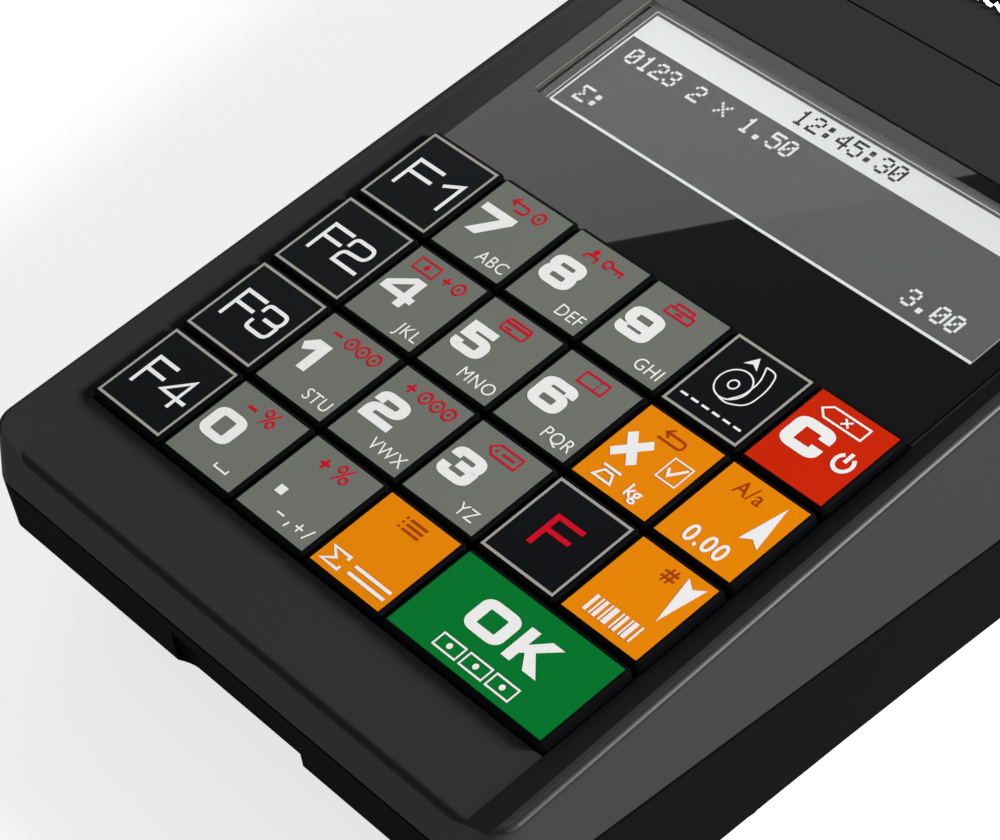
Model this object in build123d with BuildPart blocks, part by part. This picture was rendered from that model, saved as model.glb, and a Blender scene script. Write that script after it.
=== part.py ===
from build123d import *

import os
from math import acos, cos, pi, radians, sin, sqrt, tan

# Portable ticket register: keypad, display, thermal printer and battery in a wedge-shaped case.
# Millimetres, +Z up, +X to the operator's right, the operator stands at -Y.
# The origin lies on the table, under the middle of the case.
# The keypad and the display lie on a deck that rises to the rear; TOP is the plane of the key tops.

# ---------------------------------------------------------------- driving dimensions
# keypad
key_names = [
    ["f1", "7", "8", "9", "feed", "clear"],
    ["f2", "4", "5", "6", "multiply", "up"],
    ["f3", "1", "2", "3", "function", "down"],
    ["f4", "0", "point", "total", "ok"],      # the last key is two cells wide
]
key_columns = 6
key_rows = 4
key_pitch = 13.0
key_gap = 0.4              # between two neighbouring caps
key_height = 3.4           # cap, top to skirt
key_wall = 1.2
key_chamfer = 0.3
key_corner = 0.7
key_travel = 1.2
stem_size = 5.0
stem_clearance = 0.15      # each side, in the guide frame
barb = 0.4                 # what keeps a stem in the guide frame
pill_size = 3.0            # contact under the stem
pill_clearance = 0.25
guide_play = 0.1           # keypad opening to the rim of the guide frame
mat_inset = 1.0            # mat edge inside the keypad edge

# display
lens_length = 33.4
lens_thickness = 1.5
lens_gap = 0.15
lens_side = 0.5            # lens edge inside the keypad edge
window_width = 73.0
window_length = 21.0
window_offset = 4.55       # window centre behind the lens centre
lcd_margin = 0.8           # glass beyond the window, each side
lcd_thickness = 2.2
lcd_frame_wall = 1.2
lcd_shelf = 2.0            # inward ledge of the frame under the glass
lcd_shelf_thickness = 1.2
lcd_play = 0.1             # glass in its frame, and under the deck

# case
deck_slope = 6.5           # degrees, rising to the rear
front_strip = 11.4         # case front to the keypad, at the joint
side_strip = 6.7           # keypad edge to the case side, at the joint
band = 11.4                # deck between display and printer
key_proud = 1.3            # key tops above the deck
rim_rise = 1.5             # rims above the deck
rim_width = 1.4            # rim from the inner edge to the side wall
seam_height = 20.2         # joint of the two shells above the table
deck_rise = 12.2           # deck above the joint at the first key row
upper_draft = 9.0          # degrees
lower_draft = 5.0
corner_radius = 4.0
rim_fillet = 1.0
front_fillet = 1.0         # deck edge over the front wall
bottom_bevel = 1.1         # edge of the flat bottom
wall = 2.2
deck_wall = 2.0
seam_gap = 0.4
through = 0.1              # cuts run this far past the wall
lip_height = 1.6
lip_wall = 1.0
clearance = 0.3            # between separate pieces that do not slide
fuse = 0.5                 # how far a rib or boss reaches into the wall that carries it
ledge_width = 3.0          # ledges under the lid's edges and under the printer cover
ledge_thickness = 1.2
ledge_root = 2.0           # reach under the deck
ledge_front = 14.0         # from the lid's front edge
ledge_rear = 12.0          # from the rear edge of the printer's opening
cover_ledge_side = 8.0     # from the side of the opening

# lower shell
chin_radius = 35.0
chin_start = 26.6          # flat bottom begins this far behind the case front
waist_depth = 2.9
notch_width = 22.3
notch_depth = 1.6
notch_top = 2.1            # below the joint
notch_corner = 1.2
foot_height = 1.5
foot_recess = 0.8
foot_radius = 3.4
foot_play = 0.1
foot_chamfer = 0.4
foot_side = 37.6
front_foot_setback = 35.2
rear_foot_setback = 17.2

# printer
cover_length = 9.0
slot_width = 2.6
platen_setback = 18.7      # cover front to platen
platen_depth = 8.2         # deck to platen axis
platen_radius = 4.25
rubber_margin = 0.3        # platen rubber beyond the paper, each side
shaft_radius = 1.5
bush_radius = 3.0
bush_clearance = 0.06
bush_length = 3.4          # rubber to side plate
rubber_gap = 0.6           # rubber to lid arm
fork_play = 0.1            # bush in the fork of a side plate
fork_lean = 16.0           # degrees
head_angle = 25.0          # degrees that the head's face leans towards the operator
head_gap = 0.3
head_thickness = 3.0
head_margin = 0.4          # head beyond the rubber, each side
head_above = 4.5           # head beyond the print line
head_below = 9.5
head_pin_radius = 1.0
head_pin_edge = 0.4        # pin to the lower edge of the head
spring_gap = 0.25
spring_strip = 0.4
spring_margin = 6.0        # spring to the side plate
cross_wall = 1.5
plate_thickness = 2.0
base_rise = 2.6            # printer frame above the floor
base_thickness = 1.6
frame_front_gap = 1.5      # cover front to the side plates
frame_rear_reach = 10.0    # platen axis to the rear end of the plates
shelf_depth = 12.0         # deck to the shelf of the release spring
gear_module = 0.5
platen_teeth = 20
idler_teeth = 30
pinion_teeth = 12
gear_width = 3.0
gear_backlash = 0.12       # added to each centre distance
tooth_play = 0.05          # taken off each flank
axle_radius = 1.0
axle_clearance = 0.05
motor_radius = 7.5
motor_length = 12.0
motor_angle = 200.0        # degrees, from the idler to the motor
motor_shaft_radius = 0.75
motor_shaft_reach = 6.0    # shaft inside the motor
tear_tooth_pitch = 2.0
tear_tooth_height = 0.8
tear_thickness = 0.5
tear_margin = 6.0          # tear bar to the side of the opening

# paper
roll_width = 57.0
roll_radius = 20.0
core_radius = 6.5
core_wall = 1.2
roll_setback = 27.5        # platen to roll
bucket_clearance = 1.3
bucket_side = 0.9          # paper to the side wall of the bucket
bucket_wall = 1.2
bucket_tilt = 16.0         # degrees, its mouth is lower in front
bucket_mouth = 4.0         # mouth above the roll's axis

# lid
hinge_setback = 20.7       # roll to lid hinge
hinge_to_rear = 12.2
barrel_radius = 3.0
hinge_pin_radius = 1.2
hinge_clearance = 0.06
hinge_pin_reach = 7.0      # pin inside the barrel
lug_width = 3.2
lug_root = 1.4             # reach into the side wall
lug_step = 0.2             # lug radius under the barrel's
lid_wall = 1.8
lid_gap = 0.25
lid_swing = 0.7            # barrel to the rear edge of the opening: the dome passes here when open
lid_edge_rise = 0.5        # lid edge above the deck
lid_front_rise = 0.9
lid_roof_gap = 0.6         # paper roll to the inside of the lid
lid_shoulder_slope = 39.0  # degrees
arm_thickness = 2.0
arm_wall = 1.3             # round the bush

# lid release
button_width = 12.0
button_length = 5.0
button_proud = 1.0
button_play = 0.2
button_travel = 2.0
button_inset = 7.2         # side plate to the middle of the button
flange_side = 1.0          # flange under the cover, beyond the button
flange_end = 0.8
flange_thickness = 1.2
button_stem_radius = 1.5
button_stem_play = 0.2
button_stem_end = 1.0      # below the shelf
sleeve_play = 0.3          # spring round the stem
sleeve_wall = 0.6
shelf_margin = 3.4         # shelf round the stem, front and rear

# battery
battery_width = 58.0
battery_length = 48.0
battery_height = 11.0
battery_setback = 57.0     # case front to battery centre
battery_gap = 0.6
box_wall = 1.4
box_lift = 1.5             # battery above the door
slab_margin = 1.2          # thick floor round the door
slab_front = 2.0
battery_fillet = 2.0
contact_pitch = 9.0
contact_width = 4.0
contact_height = 6.0
contact_thickness = 0.4
door_play = 0.1            # door under the face of the case
door_rib_x = 18.0
door_rib_width = 1.6
door_thickness = 1.6
door_rim = 3.0
door_tab = 9.0
tongue_width = 8.0
tongue_length = 2.0

# boards, ports, fasteners
board_thickness = 1.6
board_corner = 9.0
board_margin = 7.0         # beyond the keypad in front and beyond the lens at the rear
chip_height = 1.4
part_height = 5.0          # connector and capacitors
mat_thickness = 1.0
dome_height = 2.1
guide_thickness = 1.5
guide_wall = 1.2
pilot_gap = 0.03           # screw or pin in its bore
hole_gap = 0.15            # screw through a board or plate
pass_gap = 0.2             # screw through a moulding
pocket_gap = 0.3           # screw head in its pocket
screw_radius = 1.4
screw_head_radius = 2.6
screw_head_height = 1.8
boss_radius = 3.0
boss_bore = 5.0
boss_base = 0.6            # bosses and posts of the lower shell are this much thicker
boss_x = 37.0
front_seat = 11.6          # screw seats above the bottom
rear_seat = 4.6
small_screw_radius = 1.0
small_head_radius = 1.9
small_head_height = 1.2
door_head_height = 0.8
board_bite = 3.5           # screw length in the post
frame_bite = 3.0
door_bite = 5.0
frame_screw_x = 12.0
post_radius = 2.2
post_x = 25.0
post_bore = 4.0
jack_width = 9.0
jack_height = 10.0
jack_depth = 12.0
jack_bore = 3.1
jack_pin = 1.0
jack_back = 2.5            # closed end behind the bore
jack_rise = 10.0           # axis above the bottom
jack_hole_gap = 1.0        # plug sleeve in the wall
jack_gap = 1.0             # battery bay to the jack
port_pitch = 19.0
port_inset = 4.4           # mean inner wall at the ports, from the widest point of the case
jack_seat = 0.8            # ports reach into the wall
usb_seat = 0.4
usb_width = 8.0
usb_height = 4.2
usb_depth = 9.0
usb_shell = 0.5
usb_back = 1.2
usb_rise = 8.5
usb_tongue_width = 4.8
usb_tongue_height = 1.0
usb_hole_gap = 0.7
customer_window_width = 56.0
customer_window_height = 14.0
customer_lens_margin = 2.0
customer_lens_thickness = 1.2
customer_lcd_margin = 1.7
customer_frame_gap = 0.3
customer_frame_wall = 1.3
customer_rise = 13.5       # window centre above the joint, along the rear wall

# ---------------------------------------------------------------- places worked out from them
slope_cos = cos(radians(deck_slope))
slope_sin = sin(radians(deck_slope))
slope_tan = tan(radians(deck_slope))
draft_tan = tan(radians(upper_draft))

deck_half = key_columns * key_pitch / 2
half_width = deck_half + side_strip
keypad_rear = 0.5 * key_pitch                       # along the deck, from the first key row
keypad_front = keypad_rear - key_rows * key_pitch
lens_front = keypad_rear - key_gap / 2
lens_rear = lens_front + lens_length
cover_front = lens_rear + band

f1_setback = front_strip - keypad_front * slope_cos
length = (f1_setback + cover_front * slope_cos + platen_setback + roll_setback
          + hinge_setback + hinge_to_rear)
front_y = -length / 2
rear_y = length / 2
f1_y = front_y + f1_setback
f1_z = seam_height + deck_rise + key_proud
bottom_z = foot_height
lower_top = seam_height - seam_gap

TOP = Plane(origin=(0, f1_y, f1_z), x_dir=(1, 0, 0), z_dir=(0, -slope_sin, slope_cos))
deck_level = -key_proud
rim_level = deck_level + rim_rise
ceiling_level = deck_level - deck_wall


def deck_z(y, level=deck_level):
    """Height above the table, at y, of the plane that lies `level` over the key tops."""
    return f1_z + level / slope_cos + (y - f1_y) * slope_tan


def along(y, level=deck_level):
    """Distance along the deck of the point of that plane over y."""
    return (y - f1_y) / slope_cos + level * slope_tan


hinge_y = rear_y - hinge_to_rear
hinge_z = deck_z(hinge_y) - barrel_radius
roll_y = hinge_y - hinge_setback
platen_y = roll_y - roll_setback
platen_z = deck_z(platen_y) - platen_depth
floor_z = bottom_z + wall
bucket_radius = roll_radius + bucket_clearance
bucket_z = floor_z + clearance + bucket_wall + bucket_radius
roll_z = bucket_z - bucket_clearance + clearance

cover_rear = cover_front + cover_length
lid_front = cover_rear + slot_width
lid_front_y = f1_y + lid_front * slope_cos
recess_rear_y = hinge_y + barrel_radius + lid_swing
recess_rear = along(recess_rear_y)
recess_front = keypad_front - front_strip - 6.0
lid_half = deck_half - lid_gap

guide_top = -key_height - key_travel - clearance
guide_bottom = guide_top - guide_thickness
board_top = guide_bottom - dome_height - mat_thickness - clearance
board_bottom = board_top - board_thickness
board_half = deck_half
board_front = keypad_front - board_margin
board_rear = lens_rear + board_margin
front_post = keypad_front - 4.0
rear_post = lens_rear + 4.2
post_places = [(side * post_x, distance) for side in (-1, 1) for distance in (front_post, rear_post)]

window_centre = (lens_front + lens_rear) / 2 + window_offset
lens_half = deck_half - lens_side
ledge_level = ceiling_level - clearance

front_boss_y = front_y + wall + boss_radius + 0.2
middle_boss_y = f1_y + board_rear * slope_cos
rear_boss_y = rear_y - wall - boss_radius - 1.2
boss_rows = (front_boss_y, middle_boss_y, rear_boss_y)
boss_places = [(side * boss_x, y) for y in boss_rows for side in (-1, 1)]
boss_seats = {
    front_boss_y: bottom_z + front_seat,
    middle_boss_y: bottom_z + rear_seat,
    rear_boss_y: bottom_z + rear_seat,
}

box_half_x = battery_width / 2 + battery_gap
box_half_y = battery_length / 2 + battery_gap
battery_y = front_y + battery_setback
battery_floor = bottom_z + door_thickness + box_lift
battery_roof = battery_floor + battery_height + battery_gap
door_half_x = box_half_x + door_rim
door_front_y = battery_y - box_half_y - door_rim
door_rear_y = battery_y + box_half_y + door_tab
door_screw_y = battery_y + box_half_y + box_wall + 3.2
door_post_top = bottom_z + 9.0

# printer places, seen from the right: gear centres in (y, z)
rubber_half = roll_width / 2 + rubber_margin
head_half = rubber_half + head_margin
inner_face = rubber_half + bush_length
outer_face = inner_face + plate_thickness
gear_x = outer_face + clearance
platen_pitch = gear_module * platen_teeth / 2
idler_pitch = gear_module * idler_teeth / 2
pinion_pitch = gear_module * pinion_teeth / 2
idler_y = platen_y
idler_z = platen_z - platen_pitch - idler_pitch - gear_backlash
motor_reach = idler_pitch + pinion_pitch + gear_backlash
motor_y = idler_y + motor_reach * cos(radians(motor_angle))
motor_z = idler_z + motor_reach * sin(radians(motor_angle))
frame_base_z = bottom_z + wall + base_rise
frame_base_top = frame_base_z + base_thickness
frame_front_y = platen_y - platen_setback + frame_front_gap
frame_rear_y = platen_y + frame_rear_reach
frame_screw_rows = (frame_front_y + 3.4, frame_rear_y - 3.0)
frame_screws = [(side * frame_screw_x, y) for side in (-1, 1) for y in frame_screw_rows]
shelf_z = deck_z(frame_front_y) - shelf_depth
button_x = inner_face - button_inset
button_y = f1_y + (cover_front + cover_length / 2) * slope_cos

# the print line lies where the head's face touches the paper on the platen
head_sin = sin(radians(head_angle))
head_cos = cos(radians(head_angle))
head_reach = platen_radius + head_gap
HEAD = Plane(
    origin=(0, platen_y - head_reach * head_cos, platen_z - head_reach * head_sin),
    x_dir=(1, 0, 0),
    z_dir=(0, -head_sin, head_cos),
)
REAR = Plane(
    origin=(0, rear_y, seam_height),
    x_dir=(-1, 0, 0),
    z_dir=(0, cos(radians(upper_draft)), sin(radians(upper_draft))),
)

os.makedirs("parts", exist_ok=True)


def save(piece, label):
    """Name a finished piece and write it as its own STEP file."""
    piece.part.label = label
    export_step(piece.part, f"parts/{label}.step")


def rectangle(x0, x1, y0, y1):
    """Rectangle between two corners, in the sketch that is being drawn."""
    with Locations(((x0 + x1) / 2, (y0 + y1) / 2)):
        Rectangle(x1 - x0, y1 - y0)


# ---------------------------------------------------------------- upper case
def wedge(inset, top):
    """Drafted block over the joint, cut off along the plane `top`."""
    with BuildPart() as block:
        with BuildSketch(Plane.XY.offset(seam_height)):
            RectangleRounded(2 * (half_width - inset), length - 2 * inset, max(corner_radius - inset, 1.0))
        extrude(amount=deck_rise + length * slope_tan, taper=upper_draft)
        split(bisect_by=top, keep=Keep.BOTTOM)
    return block.part


def rim_inner(distance):
    """Half width between the rims, at a distance along the deck."""
    rise = f1_z + distance * slope_sin + rim_level * slope_cos - seam_height
    return half_width - rise * draft_tan - rim_width


# bosses, posts, ledges and the frame of the rear display, trimmed to the inside of the shell
with BuildPart() as fittings:
    with BuildSketch(Plane.XY.offset(seam_height)):
        with Locations(*boss_places):
            Circle(boss_radius)
    extrude(amount=deck_rise + length * slope_tan)
    with BuildSketch(TOP.offset(board_top)):
        with Locations(*post_places):
            Circle(post_radius)
    extrude(amount=-board_top)
    # ledges under the lid's edges and under the printer cover, joined to the deck around the opening
    with BuildSketch(TOP.offset(ledge_level - ledge_thickness)):
        for side in (-1, 1):
            near, far = sorted((side * (deck_half - ledge_width), side * (deck_half + ledge_root)))
            rectangle(near, far, lid_front + ledge_front, recess_rear - ledge_rear)
        rectangle(-deck_half + cover_ledge_side, button_x - button_width,
                  cover_front - ledge_width, cover_front + ledge_width)
    extrude(amount=ledge_thickness)
    with BuildSketch(TOP.offset(ledge_level - ledge_thickness)):
        for side in (-1, 1):
            near, far = sorted((side * (deck_half + lid_gap), side * (deck_half + ledge_root)))
            rectangle(near, far, lid_front + ledge_front, recess_rear - ledge_rear)
        rectangle(-deck_half + cover_ledge_side, button_x - button_width,
                  cover_front - ledge_width, cover_front - ledge_width + ledge_root)
    extrude(amount=ledge_thickness + clearance + fuse)
    # frame round the rear display
    with BuildSketch(REAR.offset(-wall + fuse)):
        with Locations((0, customer_rise)):
            inside = 2 * (customer_lcd_margin + customer_frame_gap)
            outside = inside + 2 * customer_frame_wall
            Rectangle(customer_window_width + outside, customer_window_height + outside)
            Rectangle(customer_window_width + inside, customer_window_height + inside, mode=Mode.SUBTRACT)
    extrude(amount=-fuse - lcd_thickness)
    add(wedge(wall - fuse, TOP.offset(ceiling_level + fuse)), mode=Mode.INTERSECT)

with BuildPart() as upper_case:
    add(wedge(0, TOP.offset(rim_level)))
    fillet(upper_case.faces().sort_by(Axis.Z)[-1].edges(), radius=rim_fillet)
    # the shell is open at the bottom, under a deck of even thickness
    add(wedge(wall, TOP.offset(ceiling_level)), mode=Mode.SUBTRACT)
    add(fittings.part)
    # deck sunk between two sloping flanks, open at the front
    with BuildSketch(TOP.offset(deck_level)):
        rectangle(-deck_half, deck_half, recess_front, recess_rear)
    with BuildSketch(TOP.offset(rim_level)):
        with BuildLine():
            front_half = rim_inner(recess_front)
            rear_half = rim_inner(recess_rear)
            Polyline((-front_half, recess_front), (front_half, recess_front),
                     (rear_half, recess_rear + rim_rise), (-rear_half, recess_rear + rim_rise), close=True)
        make_face()
    loft(mode=Mode.SUBTRACT)
    deck_edge = (0, front_y + (deck_z(front_y) - seam_height) * draft_tan, deck_z(front_y))
    fillet(upper_case.edges().filter_by(Axis.X).sort_by_distance(deck_edge)[0], radius=front_fillet)
    # keypad opening, display window, and the printer's opening for cover, paper and lid
    with BuildSketch(TOP.offset(deck_level)):
        rectangle(-deck_half, deck_half, keypad_front, keypad_rear)
        rectangle(-window_width / 2, window_width / 2,
                  window_centre - window_length / 2, window_centre + window_length / 2)
    extrude(amount=-deck_wall - through, mode=Mode.SUBTRACT)
    with BuildSketch(TOP.offset(rim_level + through)):
        rectangle(-deck_half, deck_half, cover_front, recess_rear)
    extrude(amount=-rim_rise - deck_wall - 2 * through, mode=Mode.SUBTRACT)
    # pocket of the display lens
    with BuildSketch(TOP.offset(deck_level)):
        rectangle(-lens_half - lens_gap, lens_half + lens_gap, keypad_rear, lens_rear + lens_gap)
    extrude(amount=-lens_thickness, mode=Mode.SUBTRACT)
    # screw holes in the bosses and posts
    with BuildSketch(Plane.XY.offset(seam_height)):
        with Locations(*boss_places):
            Circle(screw_radius + pilot_gap)
    extrude(amount=boss_bore, mode=Mode.SUBTRACT)
    with BuildSketch(TOP.offset(board_top)):
        with Locations(*post_places):
            Circle(small_screw_radius + pilot_gap)
    extrude(amount=post_bore, mode=Mode.SUBTRACT)
    # lugs of the lid hinge
    for side in (-1, 1):
        with BuildSketch(Plane.YZ.offset(min(side * (deck_half - lug_width), side * (deck_half + lug_root)))):
            with Locations((hinge_y, hinge_z)):
                Circle(barrel_radius - lug_step)
        extrude(amount=lug_width + lug_root)
    with BuildSketch(Plane.YZ.offset(-deck_half - lug_root)):
        with Locations((hinge_y, hinge_z)):
            Circle(hinge_pin_radius + pilot_gap)
    extrude(amount=2 * (deck_half + lug_root), mode=Mode.SUBTRACT)
    # rear display: pocket of its lens and the window through the wall
    with BuildSketch(REAR):
        with Locations((0, customer_rise)):
            Rectangle(customer_window_width + 2 * customer_lens_margin + 2 * lens_gap,
                      customer_window_height + 2 * customer_lens_margin + 2 * lens_gap)
    extrude(amount=-customer_lens_thickness, mode=Mode.SUBTRACT)
    with BuildSketch(REAR):
        with Locations((0, customer_rise)):
            Rectangle(customer_window_width, customer_window_height)
    extrude(amount=-wall - through, mode=Mode.SUBTRACT)
save(upper_case, "upper_case")


# ---------------------------------------------------------------- lower case
def tub(inset):
    """Block under the joint: upright front, drafted sides with a grip waist, bevelled bottom, chin."""
    draft_tangent = tan(radians(lower_draft))
    bevel_top = bottom_z + bottom_bevel
    near = front_y + inset
    levels = (
        (bottom_z + inset, (lower_top - bottom_z) * draft_tangent + bottom_bevel, waist_depth),
        (bevel_top + inset, (lower_top - bevel_top) * draft_tangent, waist_depth),
        (lower_top, 0.0, 0.02),
    )
    with BuildPart() as block:
        for height, draft, bow in levels:
            side = half_width - inset - draft
            far = rear_y - inset - draft
            with BuildSketch(Plane.XY.offset(height)) as plan:
                with BuildLine():
                    Line((-side, near), (side, near))
                    ThreePointArc((side, near), (side - bow, 0), (side, far))
                    Line((side, far), (-side, far))
                    ThreePointArc((-side, far), (bow - side, 0), (-side, near))
                make_face()
                fillet(plan.vertices(), radius=max(corner_radius - inset, 1.0))
        loft(ruled=True)
        # chin: the bottom curves up to the short front wall
        with BuildSketch(Plane.YZ.offset(-half_width)):
            centre_y = front_y + chin_start
            radius = chin_radius - inset
            reach = chin_start + 5
            middle_z = bottom_z + chin_radius - sqrt(radius ** 2 - (reach / 2) ** 2)
            end_z = bottom_z + chin_radius - sqrt(radius ** 2 - reach ** 2)
            with BuildLine():
                Line((front_y - 5, bottom_z - 5), (centre_y, bottom_z - 5))
                Line((centre_y, bottom_z - 5), (centre_y, bottom_z + inset))
                ThreePointArc((centre_y, bottom_z + inset), (centre_y - reach / 2, middle_z),
                              (front_y - 5, end_z))
                Line((front_y - 5, end_z), (front_y - 5, bottom_z - 5))
            make_face()
        extrude(amount=2 * half_width, mode=Mode.SUBTRACT)
    return block.part


def cell(name, row, column):
    """Centre of a key on the deck and its width: the ok key is two cells wide."""
    cells = 2 if name == "ok" else 1
    x = (column + (cells - 1) / 2 - (key_columns - 1) / 2) * key_pitch
    return x, -row * key_pitch, cells * key_pitch - key_gap


bay_half_x = box_half_x + box_wall
bay_half_y = box_half_y + box_wall
jack_y = battery_y + bay_half_y + jack_width / 2 + jack_gap
jack_z = bottom_z + jack_rise
usb_y = jack_y - port_pitch
usb_z = bottom_z + usb_rise
jack_face = half_width - port_inset + jack_seat
usb_face = half_width - port_inset + usb_seat

# ribs, bosses and the battery bay, trimmed to the inside of the lower shell
with BuildPart() as lower_fittings:
    # thick floor round the battery door, and the bay with its roof
    with BuildSketch(Plane.XY.offset(bottom_z)):
        rectangle(-door_half_x - slab_margin, door_half_x + slab_margin,
                  door_front_y - slab_front, door_rear_y + slab_margin)
    extrude(amount=battery_floor - bottom_z)
    with BuildSketch(Plane.XY.offset(bottom_z)):
        rectangle(-bay_half_x, bay_half_x, battery_y - bay_half_y, battery_y + bay_half_y)
    extrude(amount=battery_roof + box_wall - bottom_z)
    with BuildSketch(Plane.XY.offset(bottom_z)):
        with Locations((0, door_screw_y)):
            Circle(post_radius)
    extrude(amount=door_post_top - bottom_z)
    # case screw bosses
    with BuildSketch(Plane.XY.offset(bottom_z)):
        with Locations(*boss_places):
            Circle(boss_radius + boss_base)
    extrude(amount=lower_top - bottom_z)
    # posts under the printer frame
    with BuildSketch(Plane.XY.offset(bottom_z)):
        with Locations(*frame_screws):
            Circle(post_radius + boss_base)
    extrude(amount=frame_base_z - bottom_z)
    # cradles under the two ports
    with BuildSketch(Plane.XY.offset(bottom_z)):
        rectangle(-half_width, -jack_face + jack_depth, jack_y - jack_width / 2, jack_y + jack_width / 2)
    extrude(amount=jack_z - jack_height / 2 - bottom_z)
    with BuildSketch(Plane.XY.offset(bottom_z)):
        rectangle(-half_width, -usb_face + usb_depth, usb_y - usb_width / 2, usb_y + usb_width / 2)
    extrude(amount=usb_z - usb_height / 2 - bottom_z)
    # thick wall behind the front notch
    with BuildSketch(Plane.XY.offset(bottom_z)):
        rectangle(-notch_width / 2 - wall, notch_width / 2 + wall, front_y, front_y + notch_depth + wall)
    extrude(amount=lower_top - bottom_z)
    add(tub(fuse), mode=Mode.INTERSECT)

# tongue that enters the upper shell at the joint
with BuildPart() as lip:
    with BuildSketch(Plane.XY.offset(lower_top - 1)):
        lip_half = half_width - wall - clearance
        lip_length = length / 2 - wall - clearance
        RectangleRounded(2 * lip_half, 2 * lip_length, 1.5)
        RectangleRounded(2 * (lip_half - lip_wall), 2 * (lip_length - lip_wall), 1.0, mode=Mode.SUBTRACT)
        with Locations(*boss_places):
            Circle(boss_radius + clearance, mode=Mode.SUBTRACT)
    extrude(amount=1 + lip_height)

with BuildPart() as lower_case:
    add(tub(0))
    add(tub(wall), mode=Mode.SUBTRACT)
    add(lower_fittings.part)
    add(lip.part)
    # battery bay and the recess of its door
    with BuildSketch(Plane.XY.offset(bottom_z - 1)):
        rectangle(-box_half_x, box_half_x, battery_y - box_half_y, battery_y + box_half_y)
    extrude(amount=battery_roof - bottom_z + 1, mode=Mode.SUBTRACT)
    with BuildSketch(Plane.XY.offset(bottom_z - 1)):
        rectangle(-door_half_x, door_half_x, door_front_y, door_rear_y)
    extrude(amount=door_thickness + 1, mode=Mode.SUBTRACT)
    with BuildSketch(Plane.XY.offset(bottom_z + door_thickness / 2 - clearance / 2)):
        for side in (-1, 1):
            middle = side * box_half_x / 2
            rectangle(middle - tongue_width / 2 - clearance, middle + tongue_width / 2 + clearance,
                      door_front_y - tongue_length - clearance, door_front_y + 1)
    extrude(amount=door_thickness / 2 + clearance, mode=Mode.SUBTRACT)
    with BuildSketch(Plane.XY.offset(bottom_z)):
        with Locations((0, door_screw_y)):
            Circle(small_screw_radius + pilot_gap)
    extrude(amount=door_post_top - bottom_z - 1, mode=Mode.SUBTRACT)
    # case screws come from below: head pocket, then a clear hole
    for x, y in boss_places:
        with BuildSketch(Plane.XY.offset(bottom_z - 1)):
            with Locations((x, y)):
                Circle(screw_head_radius + pocket_gap)
        extrude(amount=boss_seats[y] - bottom_z + 1, mode=Mode.SUBTRACT)
        with BuildSketch(Plane.XY.offset(bottom_z)):
            with Locations((x, y)):
                Circle(screw_radius + pass_gap)
        extrude(amount=lower_top - bottom_z + 1, mode=Mode.SUBTRACT)
    with BuildSketch(Plane.XY.offset(frame_base_z)):
        with Locations(*frame_screws):
            Circle(small_screw_radius + pilot_gap)
    extrude(amount=-frame_bite - base_thickness / 4, mode=Mode.SUBTRACT)
    # seats of the rubber feet
    with BuildSketch(Plane.XY.offset(bottom_z - 1)):
        for y in (front_y + front_foot_setback, rear_y - rear_foot_setback):
            with Locations((-foot_side, y), (foot_side, y)):
                Circle(foot_radius + foot_play)
    extrude(amount=foot_recess + 1, mode=Mode.SUBTRACT)
    # holes of the power jack and of the port, in the left wall
    with BuildSketch(Plane.YZ.offset(-half_width - 1)):
        with Locations((jack_y, jack_z)):
            Circle(jack_bore + jack_hole_gap)
        with Locations((usb_y, usb_z)):
            RectangleRounded(usb_width + 2 * usb_hole_gap, usb_height + 2 * usb_hole_gap, 1.0)
    extrude(amount=wall + port_inset, mode=Mode.SUBTRACT)
    with BuildSketch(Plane.YZ.offset(-jack_face - clearance)):
        rectangle(jack_y - jack_width / 2 - clearance, jack_y + jack_width / 2 + clearance,
                  jack_z - jack_height / 2, jack_z + jack_height / 2 + clearance)
    extrude(amount=jack_depth, mode=Mode.SUBTRACT)
    # finger notch in the front edge
    with BuildSketch(Plane.XY.offset(lower_top - notch_top + seam_gap)):
        with BuildLine():
            half = notch_width / 2
            deep = front_y + notch_depth
            Line((-half, front_y - 2), (-half, deep - notch_corner))
            RadiusArc((-half, deep - notch_corner), (-half + notch_corner, deep), notch_corner)
            Line((-half + notch_corner, deep), (half - notch_corner, deep))
            RadiusArc((half - notch_corner, deep), (half, deep - notch_corner), notch_corner)
            Line((half, deep - notch_corner), (half, front_y - 2))
            Line((half, front_y - 2), (-half, front_y - 2))
        make_face()
    extrude(amount=-lower_top, mode=Mode.SUBTRACT)
save(lower_case, "lower_case")

with BuildPart() as rubber_feet:
    with BuildSketch(Plane.XY):
        for y in (front_y + front_foot_setback, rear_y - rear_foot_setback):
            with Locations((-foot_side, y), (foot_side, y)):
                Circle(foot_radius)
    extrude(amount=foot_height + foot_recess)
    chamfer(rubber_feet.faces().group_by(Axis.Z)[0].edges(), length=foot_chamfer)
save(rubber_feet, "rubber_feet")

# ---------------------------------------------------------------- battery
with BuildPart() as battery_pack:
    with Locations((0, battery_y, battery_floor + battery_height / 2)):
        Box(battery_width, battery_length - 2 * battery_gap, battery_height)
    fillet(battery_pack.edges().filter_by(Axis.X), radius=battery_fillet)
save(battery_pack, "battery_pack")

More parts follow.
